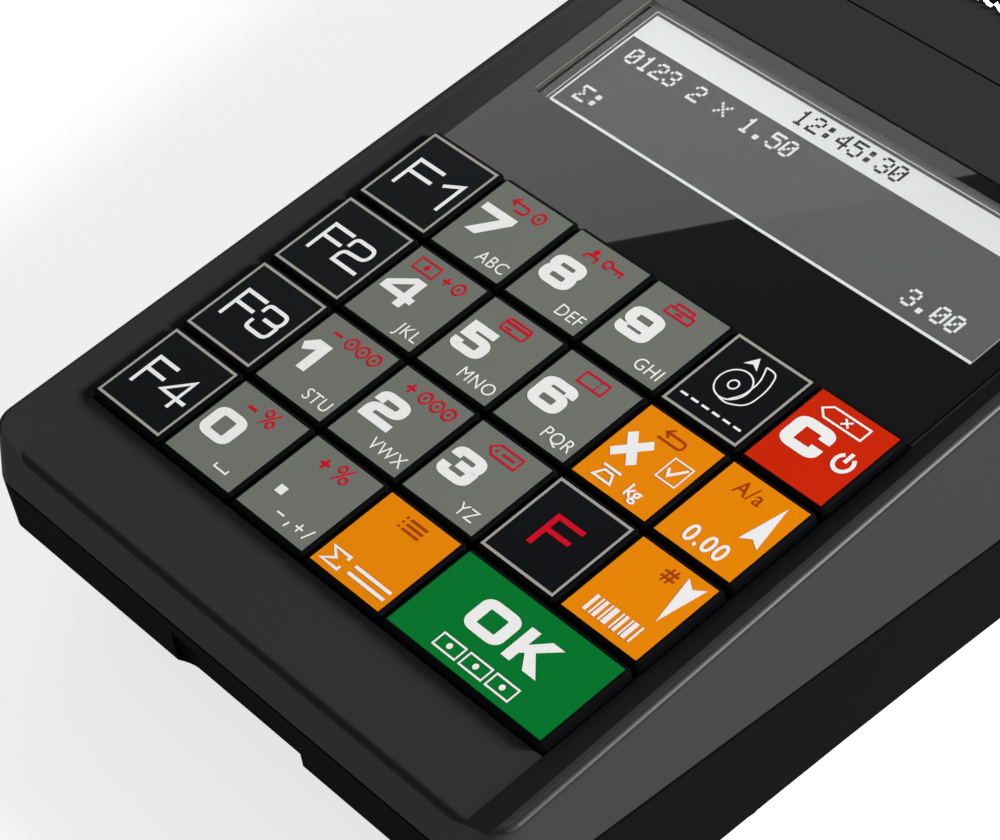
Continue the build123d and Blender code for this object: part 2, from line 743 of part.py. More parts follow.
with BuildPart() as battery_door:
    with BuildSketch(Plane.XY.offset(bottom_z)):
        rectangle(-door_half_x + lid_gap, door_half_x - lid_gap,
                  door_front_y + lid_gap, door_rear_y - lid_gap)
    extrude(amount=door_thickness - door_play)
    with BuildSketch(Plane.XY.offset(bottom_z + door_thickness / 2)):
        for side in (-1, 1):
            middle = side * box_half_x / 2
            rectangle(middle - tongue_width / 2, middle + tongue_width / 2,
                      door_front_y - tongue_length, door_front_y + 1)
    extrude(amount=door_thickness / 2 - door_play)
    # ribs that hold the battery up
    with BuildSketch(Plane.XY.offset(bottom_z)):
        with Locations((-door_rib_x, battery_y), (door_rib_x, battery_y)):
            Rectangle(door_rib_width, battery_length - 2 * door_rib_width)
    extrude(amount=battery_floor - bottom_z - clearance)
    with BuildSketch(Plane.XY.offset(bottom_z)):
        with Locations((0, door_screw_y)):
            Circle(small_screw_radius + pass_gap)
    extrude(amount=door_thickness, mode=Mode.SUBTRACT)
    with BuildSketch(Plane.XY.offset(bottom_z)):
        with Locations((0, door_screw_y)):
            Circle(small_head_radius + pass_gap)
    extrude(amount=door_head_height, mode=Mode.SUBTRACT)
save(battery_door, "battery_door")

with BuildPart() as battery_contacts:
    contact_y = battery_y + box_half_y - contact_thickness / 2
    for x in (-contact_pitch, 0, contact_pitch):
        with Locations((x, contact_y, battery_floor + battery_height / 2)):
            Box(contact_width, contact_thickness, contact_height)
save(battery_contacts, "battery_contacts")

# ---------------------------------------------------------------- keypad
for row, names in enumerate(key_names):
    for column, name in enumerate(names):
        key_x, key_s, key_width = cell(name, row, column)
        offsets = (-key_pitch / 2, key_pitch / 2) if name == "ok" else (0,)
        stems = [(key_x + offset, key_s) for offset in offsets]
        with BuildPart() as key:
            with BuildSketch(TOP):
                with Locations((key_x, key_s)):
                    RectangleRounded(key_width, key_pitch - key_gap, key_corner)
            extrude(amount=-key_height)
            chamfer(key.faces().sort_by(Axis(TOP.origin, TOP.z_dir))[-1].edges(),
                    length=key_chamfer)
            with BuildSketch(TOP.offset(-key_wall)):
                with Locations((key_x, key_s)):
                    Rectangle(key_width - 2 * key_wall, key_pitch - key_gap - 2 * key_wall)
            extrude(amount=key_wall - key_height, mode=Mode.SUBTRACT)
            with BuildSketch(TOP.offset(-key_wall)):
                with Locations(*stems):
                    Rectangle(stem_size, stem_size)
            extrude(amount=guide_bottom + key_wall - barb * 2)
            with BuildSketch(TOP.offset(guide_bottom - clearance / 3)):
                with Locations(*stems):
                    Rectangle(stem_size + 2 * (stem_clearance + barb), stem_size / 2)
            extrude(amount=-2 * barb + clearance / 3)
            with BuildSketch(TOP.offset(guide_bottom)):
                with Locations(*stems):
                    Rectangle(pill_size, pill_size)
            extrude(amount=board_top + key_travel + guide_play - guide_bottom)
        save(key, f"key_{name}")

cells = [((column - (key_columns - 1) / 2) * key_pitch, -row * key_pitch)
         for row in range(key_rows) for column in range(key_columns)]

guide_half = deck_half + guide_wall
with BuildPart() as key_guide:
    with BuildSketch(TOP.offset(guide_bottom)):
        rectangle(-guide_half, guide_half, keypad_front - guide_wall, keypad_rear + guide_wall)
        with Locations(*cells):
            Rectangle(stem_size + 2 * stem_clearance, stem_size + 2 * stem_clearance, mode=Mode.SUBTRACT)
    extrude(amount=guide_thickness)
    with BuildSketch(TOP.offset(guide_bottom)):
        rectangle(-guide_half, guide_half, keypad_front - guide_wall, keypad_rear + guide_wall)
        with Locations((0, (keypad_front + keypad_rear) / 2)):
            Rectangle(2 * (deck_half + guide_play), keypad_rear - keypad_front + 2 * guide_play,
                      mode=Mode.SUBTRACT)
    extrude(amount=ceiling_level - guide_bottom)
save(key_guide, "key_guide")

with BuildPart() as keypad_mat:
    hole = pill_size + 2 * pill_clearance
    with BuildSketch(TOP.offset(board_top)):
        rectangle(-deck_half + mat_inset, deck_half - mat_inset,
                  keypad_front + mat_inset, keypad_rear - mat_inset)
        with Locations(*cells):
            Rectangle(hole, hole, mode=Mode.SUBTRACT)
    extrude(amount=mat_thickness)
save(keypad_mat, "keypad_mat")

# ---------------------------------------------------------------- main board
with BuildPart() as main_board:
    with BuildSketch(TOP.offset(board_bottom)):
        with Locations((0, (board_front + board_rear) / 2)):
            Rectangle(2 * board_half, board_rear - board_front)
        ends = (board_front, board_rear)
        with Locations(*[(side * board_half, end) for side in (-1, 1) for end in ends]):
            Rectangle(2 * board_corner, 2 * board_corner, mode=Mode.SUBTRACT)
        with Locations(*post_places):
            Circle(small_screw_radius + hole_gap, mode=Mode.SUBTRACT)
    extrude(amount=board_thickness)
    # processor, memories, connector and two capacitors, on the underside
    with BuildSketch(TOP.offset(board_bottom)):
        with Locations((-12, -14)):
            Rectangle(14, 14)
        with Locations((10, -8), (10, -20)):
            Rectangle(8, 6)
        with Locations((-26, 8)):
            Rectangle(10, 5)
    extrude(amount=-chip_height)
    with BuildSketch(TOP.offset(board_bottom)):
        with Locations((0, lens_rear - 2)):
            Rectangle(26, 5)
        with Locations((22, lens_rear - 4), (28, lens_rear - 12)):
            Circle(3)
    extrude(amount=-part_height)
save(main_board, "main_board")

# ---------------------------------------------------------------- display
with BuildPart() as display_lens:
    with BuildSketch(TOP.offset(deck_level)):
        rectangle(-lens_half, lens_half, lens_front, lens_rear)
    extrude(amount=-lens_thickness)
save(display_lens, "display_lens")

lcd_half_x = window_width / 2 + lcd_margin
lcd_half_s = window_length / 2 + lcd_margin
lcd_top = ceiling_level - lcd_play
lcd_seat_x = 2 * (lcd_half_x + lcd_play)
lcd_seat_s = 2 * (lcd_half_s + lcd_play)
with BuildPart() as lcd_module:
    with BuildSketch(TOP.offset(lcd_top)):
        with Locations((0, window_centre)):
            Rectangle(2 * lcd_half_x, 2 * lcd_half_s)
    extrude(amount=-lcd_thickness)
save(lcd_module, "lcd_module")

with BuildPart() as lcd_frame:
    with BuildSketch(TOP.offset(board_top)):
        with Locations((0, window_centre)):
            Rectangle(lcd_seat_x + 2 * lcd_frame_wall, lcd_seat_s + 2 * lcd_frame_wall)
            Rectangle(2 * (lcd_half_x - lcd_shelf), 2 * (lcd_half_s - lcd_shelf), mode=Mode.SUBTRACT)
    extrude(amount=lcd_top - lcd_thickness - board_top)
    with BuildSketch(TOP.offset(board_top)):
        with Locations((0, window_centre)):
            Rectangle(lcd_seat_x + 2 * lcd_frame_wall, lcd_seat_s + 2 * lcd_frame_wall)
            Rectangle(lcd_seat_x, lcd_seat_s, mode=Mode.SUBTRACT)
    extrude(amount=lcd_top - board_top - lcd_play)
    # the frame is a shell: only its walls stand on the board
    with BuildSketch(TOP.offset(board_top)):
        with Locations((0, window_centre)):
            Rectangle(lcd_seat_x, lcd_seat_s)
    extrude(amount=lcd_top - lcd_thickness - board_top - lcd_shelf_thickness, mode=Mode.SUBTRACT)
save(lcd_frame, "lcd_frame")

with BuildPart() as customer_lens:
    with BuildSketch(REAR):
        with Locations((0, customer_rise)):
            Rectangle(customer_window_width + 2 * customer_lens_margin,
                      customer_window_height + 2 * customer_lens_margin)
    extrude(amount=-customer_lens_thickness)
save(customer_lens, "customer_lens")

with BuildPart() as customer_lcd:
    with BuildSketch(REAR.offset(-wall - lcd_play)):
        with Locations((0, customer_rise)):
            Rectangle(customer_window_width + 2 * customer_lcd_margin,
                      customer_window_height + 2 * customer_lcd_margin)
    extrude(amount=-lcd_thickness)
save(customer_lcd, "customer_lcd")

# ---------------------------------------------------------------- printer
def bar(y, z, radius, x0, x1):
    """Round bar along X."""
    with BuildPart() as rod:
        with BuildSketch(Plane.YZ.offset(min(x0, x1))):
            with Locations((y, z)):
                Circle(radius)
        extrude(amount=abs(x1 - x0))
    return rod.part


def gear(teeth, centre, phase, bore):
    """Spur gear beside the right plate. Phase, in degrees, is where one tooth points in the YZ plane."""
    pitch = gear_module * teeth / 2
    base = pitch * cos(radians(20))
    root = pitch - 1.25 * gear_module
    tip = pitch + 0.95 * gear_module

    def involute(radius):
        pressure = acos(min(1.0, base / radius))
        return tan(pressure) - pressure

    def half_angle(radius):
        at_pitch = pi / (2 * teeth) - tooth_play / pitch
        return at_pitch + involute(pitch) - involute(max(radius, base))

    radii = [root - 0.2, max(base, root), (max(base, root) + tip) / 2, tip]
    left = [(r * cos(half_angle(r)), r * sin(half_angle(r))) for r in radii]
    right = [(y, -z) for y, z in reversed(left)]
    with BuildPart() as wheel:
        with BuildSketch(Plane.YZ.offset(gear_x)):
            with Locations(Location((centre[0], centre[1]), phase)):
                Circle(root)
                with PolarLocations(0, teeth):
                    Polygon(*left, *right, align=None)
                Circle(bore, mode=Mode.SUBTRACT)
        extrude(amount=gear_width)
    return wheel.part


# one tooth of the platen gear points straight down, into a gap of the idler
platen_phase = -90.0
idler_phase = 90.0 + 180.0 / idler_teeth
# the idler's tooth nearest to the motor, and how far the pinion is turned to meet it
idler_turn = (motor_angle - idler_phase) % (360.0 / idler_teeth)
pinion_phase = motor_angle + 180.0 + 180.0 / pinion_teeth + idler_turn * idler_teeth / pinion_teeth

with BuildPart() as platen_gear:
    add(gear(platen_teeth, (platen_y, platen_z), platen_phase, shaft_radius))
save(platen_gear, "platen_gear")

with BuildPart() as idler_gear:
    add(gear(idler_teeth, (idler_y, idler_z), idler_phase, axle_radius + axle_clearance))
save(idler_gear, "idler_gear")

with BuildPart() as motor_pinion:
    add(gear(pinion_teeth, (motor_y, motor_z), pinion_phase, motor_shaft_radius / 2))
    add(bar(motor_y, motor_z, motor_shaft_radius, inner_face - motor_shaft_reach, gear_x + gear_width))
save(motor_pinion, "motor_pinion")

with BuildPart() as stepper_motor:
    add(bar(motor_y, motor_z, motor_radius, inner_face - motor_length, inner_face))
    add(bar(motor_y, motor_z, motor_shaft_radius + axle_clearance,
            inner_face - motor_shaft_reach - 1, inner_face),
        mode=Mode.SUBTRACT)
save(stepper_motor, "stepper_motor")

with BuildPart() as platen_roller:
    add(bar(platen_y, platen_z, platen_radius, -rubber_half, rubber_half))
    add(bar(platen_y, platen_z, shaft_radius, -rubber_half, rubber_half), mode=Mode.SUBTRACT)
save(platen_roller, "platen_roller")

shaft_end = gear_x + gear_width
with BuildPart() as platen_shaft:
    add(bar(platen_y, platen_z, shaft_radius, -outer_face - rubber_gap, shaft_end))
save(platen_shaft, "platen_shaft")

arm_inner = rubber_half + rubber_gap
with BuildPart() as platen_bushes:
    for side in (-1, 1):
        x0 = side * arm_inner
        x1 = side * (outer_face - fork_play)
        add(bar(platen_y, platen_z, bush_radius, x0, x1))
        add(bar(platen_y, platen_z, shaft_radius + bush_clearance, x0, x1), mode=Mode.SUBTRACT)
save(platen_bushes, "platen_bushes")

head_pin_s = -head_below + head_pin_radius + head_pin_edge       # along the head's face, from the print line
head_pin_y = HEAD.origin.Y - head_pin_s * head_sin - head_thickness / 2 * head_cos
head_pin_z = HEAD.origin.Z + head_pin_s * head_cos - head_thickness / 2 * head_sin
with BuildPart() as thermal_head:
    with BuildSketch(HEAD.offset(-head_below)):
        rectangle(-head_half, head_half, -head_thickness, 0)
    extrude(amount=head_above + head_below)
    for side in (-1, 1):
        add(bar(head_pin_y, head_pin_z, head_pin_radius, side * (head_half - 1), side * (outer_face - 0.2)))
save(thermal_head, "thermal_head")

spring_back = -head_thickness - spring_gap
wall_back = spring_back - spring_strip
motor_side = inner_face - motor_length - 1.0
with BuildPart() as head_spring:
    with BuildSketch(HEAD.offset(-head_below + 3)):
        rectangle(-inner_face + spring_margin, motor_side - spring_margin / 2, wall_back, spring_back)
    extrude(amount=head_below - 3)
save(head_spring, "head_spring")

fork_radius = bush_radius + fork_play
spring_base = shelf_z + base_thickness
plate_top = deck_z(platen_y - 4) - deck_wall - 1.4
with BuildPart() as printer_frame:
    for x0 in (-outer_face, inner_face):
        with BuildSketch(Plane.YZ.offset(x0)):
            with BuildLine():
                Polyline((frame_front_y, frame_base_z), (frame_rear_y, frame_base_z),
                         (frame_rear_y, idler_z), (platen_y + 6.5, plate_top),
                         (platen_y - 8, plate_top), (frame_front_y, spring_base), close=True)
            make_face()
            # fork that the lid's bushes drop into
            with Locations((platen_y, platen_z)):
                Circle(fork_radius, mode=Mode.SUBTRACT)
            with Locations(Location((platen_y, platen_z), fork_lean)):
                with Locations((0, 2 * fork_radius)):
                    Rectangle(2 * fork_radius, 4 * fork_radius, mode=Mode.SUBTRACT)
            with Locations((head_pin_y, head_pin_z)):
                Circle(head_pin_radius + axle_clearance, mode=Mode.SUBTRACT)
            with Locations((motor_y, motor_z)):
                Circle(pinion_pitch + 1, mode=Mode.SUBTRACT)
        extrude(amount=plate_thickness)
    with BuildSketch(Plane.XY.offset(frame_base_z)):
        rectangle(-outer_face, outer_face, frame_front_y, frame_rear_y)
        with Locations(*frame_screws):
            Circle(small_screw_radius + hole_gap, mode=Mode.SUBTRACT)
    extrude(amount=base_thickness)
    # the motor's room reaches into the base where the base stands high
    add(bar(motor_y, motor_z, motor_radius + clearance, motor_side, inner_face), mode=Mode.SUBTRACT)
    # cross wall behind the head spring, and the shelf of the release spring
    with BuildSketch(HEAD.offset(-head_below)):
        rectangle(-inner_face - fuse, motor_side, wall_back - cross_wall, wall_back)
    extrude(amount=head_below)
    with BuildSketch(Plane.XY.offset(shelf_z)):
        rectangle(button_x - button_width / 2, inner_face + fuse,
                  button_y - shelf_margin, button_y + shelf_margin)
        with Locations((button_x, button_y)):
            Circle(button_stem_radius + button_stem_play, mode=Mode.SUBTRACT)
    extrude(amount=base_thickness)
    # stub axle of the idler
    add(bar(idler_y, idler_z, axle_radius, outer_face - fuse, gear_x + gear_width + clearance))
save(printer_frame, "printer_frame")

with BuildPart() as printer_cover:
    with BuildSketch(TOP.offset(deck_level)):
        rectangle(-lid_half, lid_half, cover_front + lid_gap, cover_rear)
    extrude(amount=-deck_wall)
    with BuildSketch(Plane.XY.offset(shelf_z)):
        with Locations((button_x, button_y)):
            Rectangle(button_width + 2 * button_play, button_length + 2 * button_play)
    extrude(amount=2 * shelf_depth, mode=Mode.SUBTRACT)
save(printer_cover, "printer_cover")

tear_count = int(roll_width // tear_tooth_pitch)
with BuildPart() as tear_bar:
    with BuildSketch(TOP.offset(deck_level)):
        rectangle(-deck_half + tear_margin, deck_half - tear_margin, cover_rear, cover_rear + tear_thickness)
    extrude(amount=-deck_wall)
    teeth_plane = Plane(origin=TOP.from_local_coords((0, cover_rear, deck_level)), x_dir=(1, 0, 0),
                        z_dir=(0, -slope_cos, -slope_sin))
    with BuildSketch(teeth_plane):
        with GridLocations(tear_tooth_pitch, 1, tear_count, 1):
            Polygon((-tear_tooth_pitch / 2 + 0.1, -0.2), (tear_tooth_pitch / 2 - 0.1, -0.2),
                    (0, tear_tooth_height), align=None)
    extrude(amount=-tear_thickness)
save(tear_bar, "tear_bar")

# ---------------------------------------------------------------- paper
with BuildPart() as paper_roll:
    add(bar(roll_y, roll_z, roll_radius, -roll_width / 2, roll_width / 2))
    add(bar(roll_y, roll_z, core_radius, -roll_width / 2, roll_width / 2), mode=Mode.SUBTRACT)
save(paper_roll, "paper_roll")

with BuildPart() as paper_core:
    add(bar(roll_y, roll_z, core_radius, -roll_width / 2, roll_width / 2))
    add(bar(roll_y, roll_z, core_radius - core_wall, -roll_width / 2, roll_width / 2), mode=Mode.SUBTRACT)
save(paper_core, "paper_core")

bucket_half = roll_width / 2 + bucket_side
bucket_outer = bucket_half + bucket_wall
mouth = Plane(origin=(0, roll_y, bucket_z + bucket_mouth),
              z_dir=(0, -sin(radians(bucket_tilt)), cos(radians(bucket_tilt))))
with BuildPart() as paper_bucket:
    add(bar(roll_y, bucket_z, bucket_radius + bucket_wall, -bucket_outer, bucket_outer))
    add(bar(roll_y, bucket_z, bucket_radius, -bucket_half, bucket_half), mode=Mode.SUBTRACT)
    # open towards the lid, lower in front, where the paper leaves
    split(bisect_by=mouth, keep=Keep.BOTTOM)
save(paper_bucket, "paper_bucket")

# ---------------------------------------------------------------- printer lid
def hood(inset, floor):
    """Domed block of the lid over the plane `floor`, with sloping shoulders."""
    near = lid_front_y + inset
    crown = roll_z + roll_radius + lid_roof_gap + lid_wall - inset
    with BuildPart() as block:
        with BuildSketch(Plane.YZ.offset(-deck_half)):
            with BuildLine():
                Line((near, deck_z(near, floor)), (near, deck_z(near) + lid_front_rise - inset))
                ThreePointArc((near, deck_z(near) + lid_front_rise - inset), (roll_y, crown),
                              (hinge_y, hinge_z + barrel_radius - inset))
                Line((hinge_y, hinge_z + barrel_radius - inset), (hinge_y, deck_z(hinge_y, floor)))
                Line((hinge_y, deck_z(hinge_y, floor)), (near, deck_z(near, floor)))
            make_face()
        extrude(amount=2 * deck_half)
        edge = lid_half - inset
        rise = 12.0
        below = 4 * platen_depth
        with BuildSketch(Plane(origin=(0, near - 20, deck_z(near - 20)), x_dir=(-1, 0, 0),
                               z_dir=(0, slope_cos, slope_sin))):
            with BuildLine():
                shoulder = lid_edge_rise - inset * 0.4
                flat = edge - rise / tan(radians(lid_shoulder_slope))
                Polyline((-edge, -below), (edge, -below), (edge, shoulder), (flat, shoulder + rise),
                         (-flat, shoulder + rise), (-edge, shoulder), close=True)
            make_face()
        extrude(amount=length, mode=Mode.INTERSECT)
    return block.part


barrel_half = deck_half - lug_width - lid_gap
arm_outer = arm_inner + arm_thickness
with BuildPart() as arms:
    for side in (-1, 1):
        with BuildSketch(Plane.YZ.offset(min(side * arm_inner, side * arm_outer))):
            with Locations((platen_y, platen_z)):
                Circle(bush_radius + arm_wall)
            rectangle(platen_y - bush_radius - arm_wall, platen_y + bush_radius + arm_wall,
                      platen_z, platen_z + 2 * platen_depth)
        extrude(amount=arm_thickness)
    add(hood(fuse, deck_level - 2 * platen_depth), mode=Mode.INTERSECT)

# the hollow ends just before the hinge barrel
with BuildPart() as lid_hollow:
    add(hood(lid_wall, ceiling_level - 1))
    split(bisect_by=Plane(origin=(0, hinge_y - barrel_radius - lid_wall, 0), z_dir=(0, 1, 0)),
          keep=Keep.BOTTOM)

with BuildPart() as printer_lid:
    add(hood(0, ceiling_level))
    add(lid_hollow.part, mode=Mode.SUBTRACT)
    # room for the hinge lugs of the case
    with BuildSketch(Plane.XY.offset(hinge_z - 2 * barrel_radius)):
        for side in (-1, 1):
            near, far = sorted((side * barrel_half, side * deck_half))
            rectangle(near, far, hinge_y - barrel_radius - lid_swing, hinge_y + 1)
    extrude(amount=6 * barrel_radius, mode=Mode.SUBTRACT)
    add(bar(hinge_y, hinge_z, barrel_radius, -barrel_half, barrel_half))
    add(arms.part)
    add(bar(platen_y, platen_z, bush_radius, -arm_outer - 1, arm_outer + 1), mode=Mode.SUBTRACT)
    for side in (-1, 1):
        add(bar(hinge_y, hinge_z, hinge_pin_radius + hinge_clearance,
                side * (barrel_half - hinge_pin_reach - 1), side * deck_half),
            mode=Mode.SUBTRACT)
save(printer_lid, "printer_lid")

with BuildPart() as hinge_pins:
    for side in (-1, 1):
        add(bar(hinge_y, hinge_z, hinge_pin_radius,
                side * (barrel_half - hinge_pin_reach), side * (deck_half + lug_root - 0.4)))
save(hinge_pins, "hinge_pins")

# ---------------------------------------------------------------- lid release
flange_top = deck_z(button_y - button_length / 2 - 1, ceiling_level) - clearance
with BuildPart() as lid_release:
    with BuildSketch(Plane.XY.offset(flange_top - 1)):
        with Locations((button_x, button_y)):
            RectangleRounded(button_width, button_length, 1.0)
    extrude(amount=shelf_depth)
    split(bisect_by=TOP.offset(deck_level + button_proud), keep=Keep.BOTTOM)
    with BuildSketch(Plane.XY.offset(flange_top)):
        with Locations((button_x, button_y)):
            Rectangle(button_width + 2 * flange_side, button_length + 2 * flange_end)
    extrude(amount=-flange_thickness)
    # stem in the shelf, clear of the motor when pressed
    with BuildSketch(Plane.XY.offset(flange_top - flange_thickness / 2)):
        with Locations((button_x, button_y)):
            Circle(button_stem_radius)
    extrude(amount=shelf_z - button_stem_end - flange_top + flange_thickness / 2)
save(lid_release, "lid_release")

with BuildPart() as release_spring:
    with BuildSketch(Plane.XY.offset(spring_base)):
        with Locations((button_x, button_y)):
            Circle(button_stem_radius + sleeve_play + sleeve_wall)
            Circle(button_stem_radius + sleeve_play, mode=Mode.SUBTRACT)
    extrude(amount=flange_top - flange_thickness - spring_base)
save(release_spring, "release_spring")

# ---------------------------------------------------------------- ports
with BuildPart() as power_jack:
    with BuildSketch(Plane.YZ.offset(-jack_face)):
        with Locations((jack_y, jack_z)):
            Rectangle(jack_width, jack_height)
    extrude(amount=jack_depth)
    with BuildSketch(Plane.YZ.offset(-jack_face)):
        with Locations((jack_y, jack_z)):
            Circle(jack_bore)
            Circle(jack_pin, mode=Mode.SUBTRACT)
    extrude(amount=jack_depth - jack_back, mode=Mode.SUBTRACT)
save(power_jack, "power_jack")

with BuildPart() as usb_port:
    with BuildSketch(Plane.YZ.offset(-usb_face)):
        with Locations((usb_y, usb_z)):
            Rectangle(usb_width, usb_height)
    extrude(amount=usb_depth)
    with BuildSketch(Plane.YZ.offset(-usb_face)):
        with Locations((usb_y, usb_z)):
            Rectangle(usb_width - 2 * usb_shell, usb_height - 2 * usb_shell)
    extrude(amount=usb_depth - usb_back, mode=Mode.SUBTRACT)
    with BuildSketch(Plane.YZ.offset(-usb_face + 1)):
        with Locations((usb_y, usb_z)):
            Rectangle(usb_tongue_width, usb_tongue_height)
    extrude(amount=usb_depth - 1)
save(usb_port, "usb_port")


# ---------------------------------------------------------------- screws
def screw(head_plane, places, head_radius, head_height, shank_radius, reach):
    """Pan-head screws on a plane: the heads lie behind it and the shanks run along its normal."""
    with BuildPart() as screws:
        with BuildSketch(head_plane):
            with Locations(*places):
                Circle(head_radius)
        extrude(amount=-head_height)
        with BuildSketch(head_plane.offset(-head_height / 2)):
            with Locations(*places):
                Circle(shank_radius)
        extrude(amount=reach + head_height / 2)
    return screws.part


with BuildPart() as case_screws:
    for x, y in boss_places:
        seat = boss_seats[y]
        add(screw(Plane.XY.offset(seat), [(x, y)], screw_head_radius, screw_head_height, screw_radius,
                  seam_height + boss_bore - 0.5 - seat))
save(case_screws, "case_screws")

with BuildPart() as small_screws:
    add(screw(TOP.offset(board_bottom), post_places, small_head_radius, small_head_height,
              small_screw_radius, board_thickness + board_bite))
    flipped = Plane(origin=(0, 0, frame_base_top), x_dir=(1, 0, 0), z_dir=(0, 0, -1))
    add(screw(flipped, [(x, -y) for x, y in frame_screws], small_head_radius, small_head_height,
              small_screw_radius, base_thickness + frame_bite))
    add(screw(Plane.XY.offset(bottom_z + door_head_height), [(0, door_screw_y)], small_head_radius,
              door_head_height, small_screw_radius, door_bite))
save(small_screws, "small_screws")
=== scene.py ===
"""Portable ticket register: finishes, prints and displays of every piece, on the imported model."""
from math import cos, pi, radians, sin

import bpy
from mathutils import Matrix, Vector


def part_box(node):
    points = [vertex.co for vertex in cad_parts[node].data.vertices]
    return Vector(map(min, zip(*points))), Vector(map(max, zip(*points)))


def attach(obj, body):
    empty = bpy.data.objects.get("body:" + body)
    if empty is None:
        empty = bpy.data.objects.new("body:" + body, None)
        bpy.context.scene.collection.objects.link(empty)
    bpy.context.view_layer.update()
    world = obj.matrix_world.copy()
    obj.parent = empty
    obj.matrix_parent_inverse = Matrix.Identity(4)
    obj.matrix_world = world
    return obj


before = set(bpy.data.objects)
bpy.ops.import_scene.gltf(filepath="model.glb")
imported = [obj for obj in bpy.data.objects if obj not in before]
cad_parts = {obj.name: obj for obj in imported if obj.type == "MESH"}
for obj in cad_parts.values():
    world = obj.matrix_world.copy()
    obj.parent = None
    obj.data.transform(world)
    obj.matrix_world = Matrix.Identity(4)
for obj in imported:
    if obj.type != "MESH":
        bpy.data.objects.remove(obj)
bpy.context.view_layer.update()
mm = 0.001


# ---------------------------------------------------------------- lower shell, battery door, feet
# The tub that everything is screwed into, with its battery door: black ABS, injection moulded in a
# spark-eroded tool, so the surface is a fine even grain without gloss. Four rubber feet are
# pressed in. The small functions that build every material's nodes stand here too.
def add_node(owner, kind, inputs=None, **settings):
    """A new node of a material or world, with its settings and the values of its free inputs."""
    node = owner.node_tree.nodes.new(kind)
    for setting, value in settings.items():
        setattr(node, setting, value)
    for socket, value in (inputs or {}).items():
        node.inputs[socket].default_value = value
    return node


def new_material(name, inputs=None):
    """A material with these values on its shader; gives the shader's inputs and the links too."""
    material = bpy.data.materials.new(name)
    material.use_nodes = True
    surface = material.node_tree.nodes["Principled BSDF"]
    for socket, value in (inputs or {}).items():
        surface.inputs[socket].default_value = value
    return material, surface.inputs, material.node_tree.links


def noise(owner, scale, detail=2.0, roughness=0.5, stretch=None):
    """A noise that is fixed to the piece, scale in cycles per metre, drawn out by stretch."""
    place = add_node(owner, "ShaderNodeTexCoord").outputs["Object"]
    if stretch:
        along = add_node(owner, "ShaderNodeMapping", {"Scale": stretch})
        owner.node_tree.links.new(place, along.inputs["Vector"])
        place = along.outputs["Vector"]
    texture = add_node(owner, "ShaderNodeTexNoise",
                       {"Scale": scale, "Detail": detail, "Roughness": roughness})
    owner.node_tree.links.new(place, texture.inputs["Vector"])
    return texture.outputs["Fac"]


def mixed(owner, factor, low, high):
    """A colour that runs from low to high with the factor."""
    tone = add_node(owner, "ShaderNodeMix", data_type="RGBA")
    tone.inputs["A"].default_value = low
    tone.inputs["B"].default_value = high
    owner.node_tree.links.new(factor, tone.inputs["Factor"])
    return tone.outputs["Result"]


def shade(colour, level):
    return [level * c for c in colour] + [1]


def ramp(owner, value, low, high, start=0.0, end=1.0):
    """A number that runs from low to high while the value goes from start to end."""
    step = add_node(owner, "ShaderNodeMapRange",
                    {"From Min": start, "From Max": end, "To Min": low, "To Max": high})
    owner.node_tree.links.new(value, step.inputs["Value"])
    return step.outputs["Result"]


def relief(owner, height, strength, depth, base=None):
    """A bump of this depth in mm, on top of the base normal where one is given."""
    bump = add_node(owner, "ShaderNodeBump", {"Strength": strength, "Distance": depth * mm})
    owner.node_tree.links.new(height, bump.inputs["Height"])
    if base:
        owner.node_tree.links.new(base, bump.inputs["Normal"])
    return bump.outputs["Normal"]


def moulded_plastic(name, colour, roughness, grain=0.09, depth=0.012, edge=0.12, shine=0.15):
    """Grain is the size of the tool's texture and edge the rounding of a corner, both in mm."""
    material, surface, links = new_material(name, {"Specular IOR Level": shine})
    texture = noise(material, 1 / (grain * mm), roughness=0.6)
    clouds = noise(material, 45.0, detail=3.0)
    corner = add_node(material, "ShaderNodeBevel", {"Radius": edge * mm}, samples=6)
    links.new(mixed(material, texture, shade(colour, 0.90), shade(colour, 1.10)),
              surface["Base Color"])
    links.new(ramp(material, clouds, roughness - 0.05, roughness + 0.05), surface["Roughness"])
    links.new(relief(material, texture, 0.55, depth, corner.outputs["Normal"]), surface["Normal"])
    return material


def finish(material, *nodes):
    """The CAD nodes keep their shape and take this material."""
    for node in nodes:
        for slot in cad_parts[node].material_slots:
            slot.material = material


shell_black = moulded_plastic("shell_black", (0.0056, 0.0056, 0.0058), 0.46, shine=0.001)
finish(shell_black, "lower_case", "battery_door")
foot_rubber = moulded_plastic("foot_rubber", (0.017, 0.017, 0.018), 0.72, grain=0.16, depth=0.02,
                              edge=0.2)
finish(foot_rubber, "rubber_feet")


# ---------------------------------------------------------------- screws
# Six long self-tapping screws join the two shells from below; small ones hold the main board, the
# printer frame and the battery door. Steel, zinc plated, with a turned finish on the heads.
def turned_metal(name, colour, roughness, scratch=0.25, stretch=(1, 1, 12)):
    """Plain metal with the fine lines of rolling or turning; scratch is their width in mm."""
    material, surface, links = new_material(name, {"Metallic": 1.0})
    scratches = noise(material, 1 / (scratch * mm) / max(stretch), detail=3.0, stretch=stretch)
    links.new(mixed(material, scratches, shade(colour, 0.86), shade(colour, 1.06)),
              surface["Base Color"])
    links.new(ramp(material, scratches, roughness - 0.08, roughness + 0.10), surface["Roughness"])
    return material


finish(turned_metal("zinc_steel", (0.56, 0.56, 0.55), 0.34),
       "case_screws", "small_screws", "hinge_pins")


